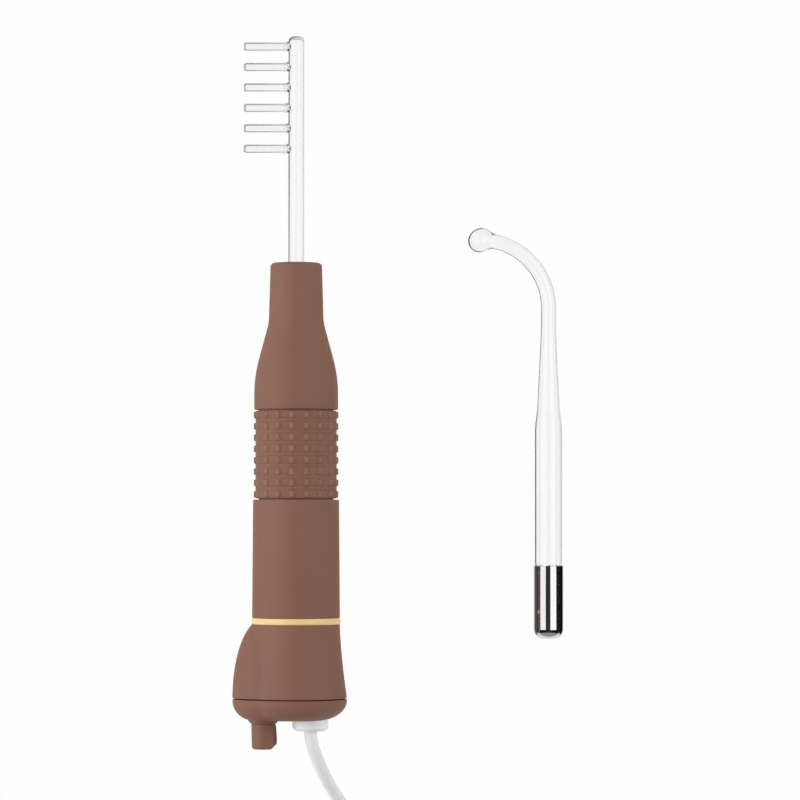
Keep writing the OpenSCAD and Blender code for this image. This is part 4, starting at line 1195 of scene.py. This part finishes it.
def floor():
    """White paper, open to mirrored and bent rays, which see the studio's own light and dark sides."""
    bm = bmesh.new()
    bmesh.ops.create_grid(bm, x_segments=1, y_segments=1, size=FLOOR_SIDE / 2)
    bmesh.ops.translate(bm, vec=(0, 0, -FLOOR_DROP * MM), verts=bm.verts)
    piece = made("floor", bm)
    made_of = bpy.data.materials.new("white_paper")
    made_of.use_nodes = True
    tree = made_of.node_tree
    tree.nodes.clear()
    path = add(tree, "ShaderNodeLightPath").outputs
    paper = add(tree, "ShaderNodeBsdfDiffuse", {"Color": linear("#f1f1f1")})
    glow = add(tree, "ShaderNodeEmission", {"Color": linear("#ffffff"), "Strength": 1})
    gap = add(tree, "ShaderNodeBsdfTransparent")
    seen = add(tree, "ShaderNodeMath", {0: path["Is Camera Ray"], 1: FLOOR_GLOW}, operation="MULTIPLY")
    lit = add(tree, "ShaderNodeMixShader", {
        "Fac": seen.outputs["Value"], 1: paper.outputs["BSDF"], 2: glow.outputs["Emission"],
    })
    turned = add(tree, "ShaderNodeMath", {
        0: path["Is Glossy Ray"], 1: path["Is Transmission Ray"],
    }, operation="MAXIMUM")
    mix = add(tree, "ShaderNodeMixShader", {
        "Fac": turned.outputs["Value"], 1: lit.outputs["Shader"], 2: gap.outputs["BSDF"],
    })
    add(tree, "ShaderNodeOutputMaterial", {"Surface": mix.outputs["Shader"]})
    piece.data.materials.append(made_of)


def world():
    """White studio, which dull surfaces, mirrors and glass each see in their own light."""
    made_of = bpy.data.worlds.new("studio")
    made_of.use_nodes = True
    tree = made_of.node_tree
    tree.nodes.clear()
    path = add(tree, "ShaderNodeLightPath").outputs
    towards = add(tree, "ShaderNodeTexCoord").outputs["Generated"]

    def lean(direction, low, high, least=0, most=1):
        """How far a ray leans in a direction, between two limits."""
        along = add(tree, "ShaderNodeVectorMath", {0: towards, 1: direction}, operation="DOT_PRODUCT")
        return add(tree, "ShaderNodeMapRange", {
            "Value": along.outputs["Value"],
            "From Min": low, "From Max": high, "To Min": least, "To Max": most,
        }, interpolation_type="SMOOTHSTEP").outputs["Result"]

    def together(*shares):
        """What is left where all these shares hold."""
        left = shares[0]
        for share in shares[1:]:
            left = add(tree, "ShaderNodeMath", {0: left, 1: share}, operation="MULTIPLY").outputs["Value"]
        return left

    def layered(light, *layers):
        """A light with others laid over it, each as far as its share goes."""
        for share, level in layers:
            light = add(tree, "ShaderNodeMix", {"Factor": share, "A": light, "B": level}).outputs["Result"]
        return light

    # Dull surfaces: brighter from the left, and dim overhead, where the lamps are, and at both ends
    dull = together(
        lean(LEFT, -1, 1, SKY_RIGHT, SKY_LEFT),
        lean(UP, 0.1, 0.9, 1, SKY_TOP),
        lean(NEAR, 0.05, 0.5, 1, SKY_ENDS),
        lean(FAR, 0.05, 0.5, 1, SKY_ENDS),
    )
    # Mirrors: dark, greyer overhead, low at the left and at the near end, white below and low at both ends
    low_left = together(lean(LEFT, 0.1, 0.3), lean(DOWN, 0.15, 0.3))
    low_ends = [together(lean(end, 0.4, 0.6), lean(DOWN, 0, 0.2)) for end in (NEAR, FAR)]
    mirrored = layered(
        MIRROR_DARK,
        (lean(UP, 0.8, 0.95), MIRROR_TOP),
        (low_left, MIRROR_LOW),
        (lean(NEAR, 0.55, 0.7), MIRROR_END),
        (lean(DOWN, 0.72, 0.9), 1),
        *[(low_end, 1) for low_end in low_ends],
    )
    # Glass: a dark band round the view straight down, weaker at the right and a little at the near end
    rightward = layered(GLASS_RIGHT, (lean(RIGHT, 0.6, 0.8), GLASS_FAR_RIGHT))
    rim = together(
        lean(DOWN, 0.975, 0.9),
        lean(DOWN, 0.58, 0.66),
        layered(1, (lean(RIGHT, -0.05, 0.2), rightward)),
        lean(NEAR, 0.1, 0.5, 1, GLASS_NEAR),
    )
    bent = layered(1, (rim, GLASS_DARK))
    light = layered(
        dull,
        (path["Is Camera Ray"], 1),
        (path["Is Glossy Ray"], mirrored),
        (path["Is Transmission Ray"], bent),
    )
    sky = add(tree, "ShaderNodeBackground", {"Color": linear("#ffffff"), "Strength": light})
    add(tree, "ShaderNodeOutputWorld", {"Surface": sky.outputs["Background"]})
    bpy.context.scene.world = made_of


def softbox(name, lean, glow):
    """A long lamp beside the wand, leaning from overhead by an angle in degrees."""
    data = bpy.data.lights.new(name, "AREA")
    data.shape = "RECTANGLE"
    data.size = LAMP_WIDE
    data.size_y = LAMP_LONG
    data.energy = glow * math.pi * LAMP_WIDE * LAMP_LONG
    lamp = bpy.data.objects.new(name, data)
    turn = math.radians(lean)
    lamp.location = (LAMP_DISTANCE * math.sin(turn), LAMP_BACK, LAMP_DISTANCE * math.cos(turn))
    lamp.rotation_euler = (0, turn, 0)
    bpy.context.scene.collection.objects.link(lamp)


bpy.context.scene.view_settings.view_transform = "Standard"
camera()
plug_pieces = [plug_moulding(), plug_prongs(), cord_strap()]
mains_cord()
cord_gland()
nose()
grip()
barrel()
gold_ring()
base()
end_cap()
dial_knob()
comb()
ferrule("comb_ferrule", COMB, "comb_electrode", "comb_cap")
point()
ferrule("point_ferrule", POINT, "bent_electrode", "bent_cap")
inner_pieces()
floor()
world()
softbox("left_softbox", *LEFT_LAMP)
softbox("right_softbox", *RIGHT_LAMP)
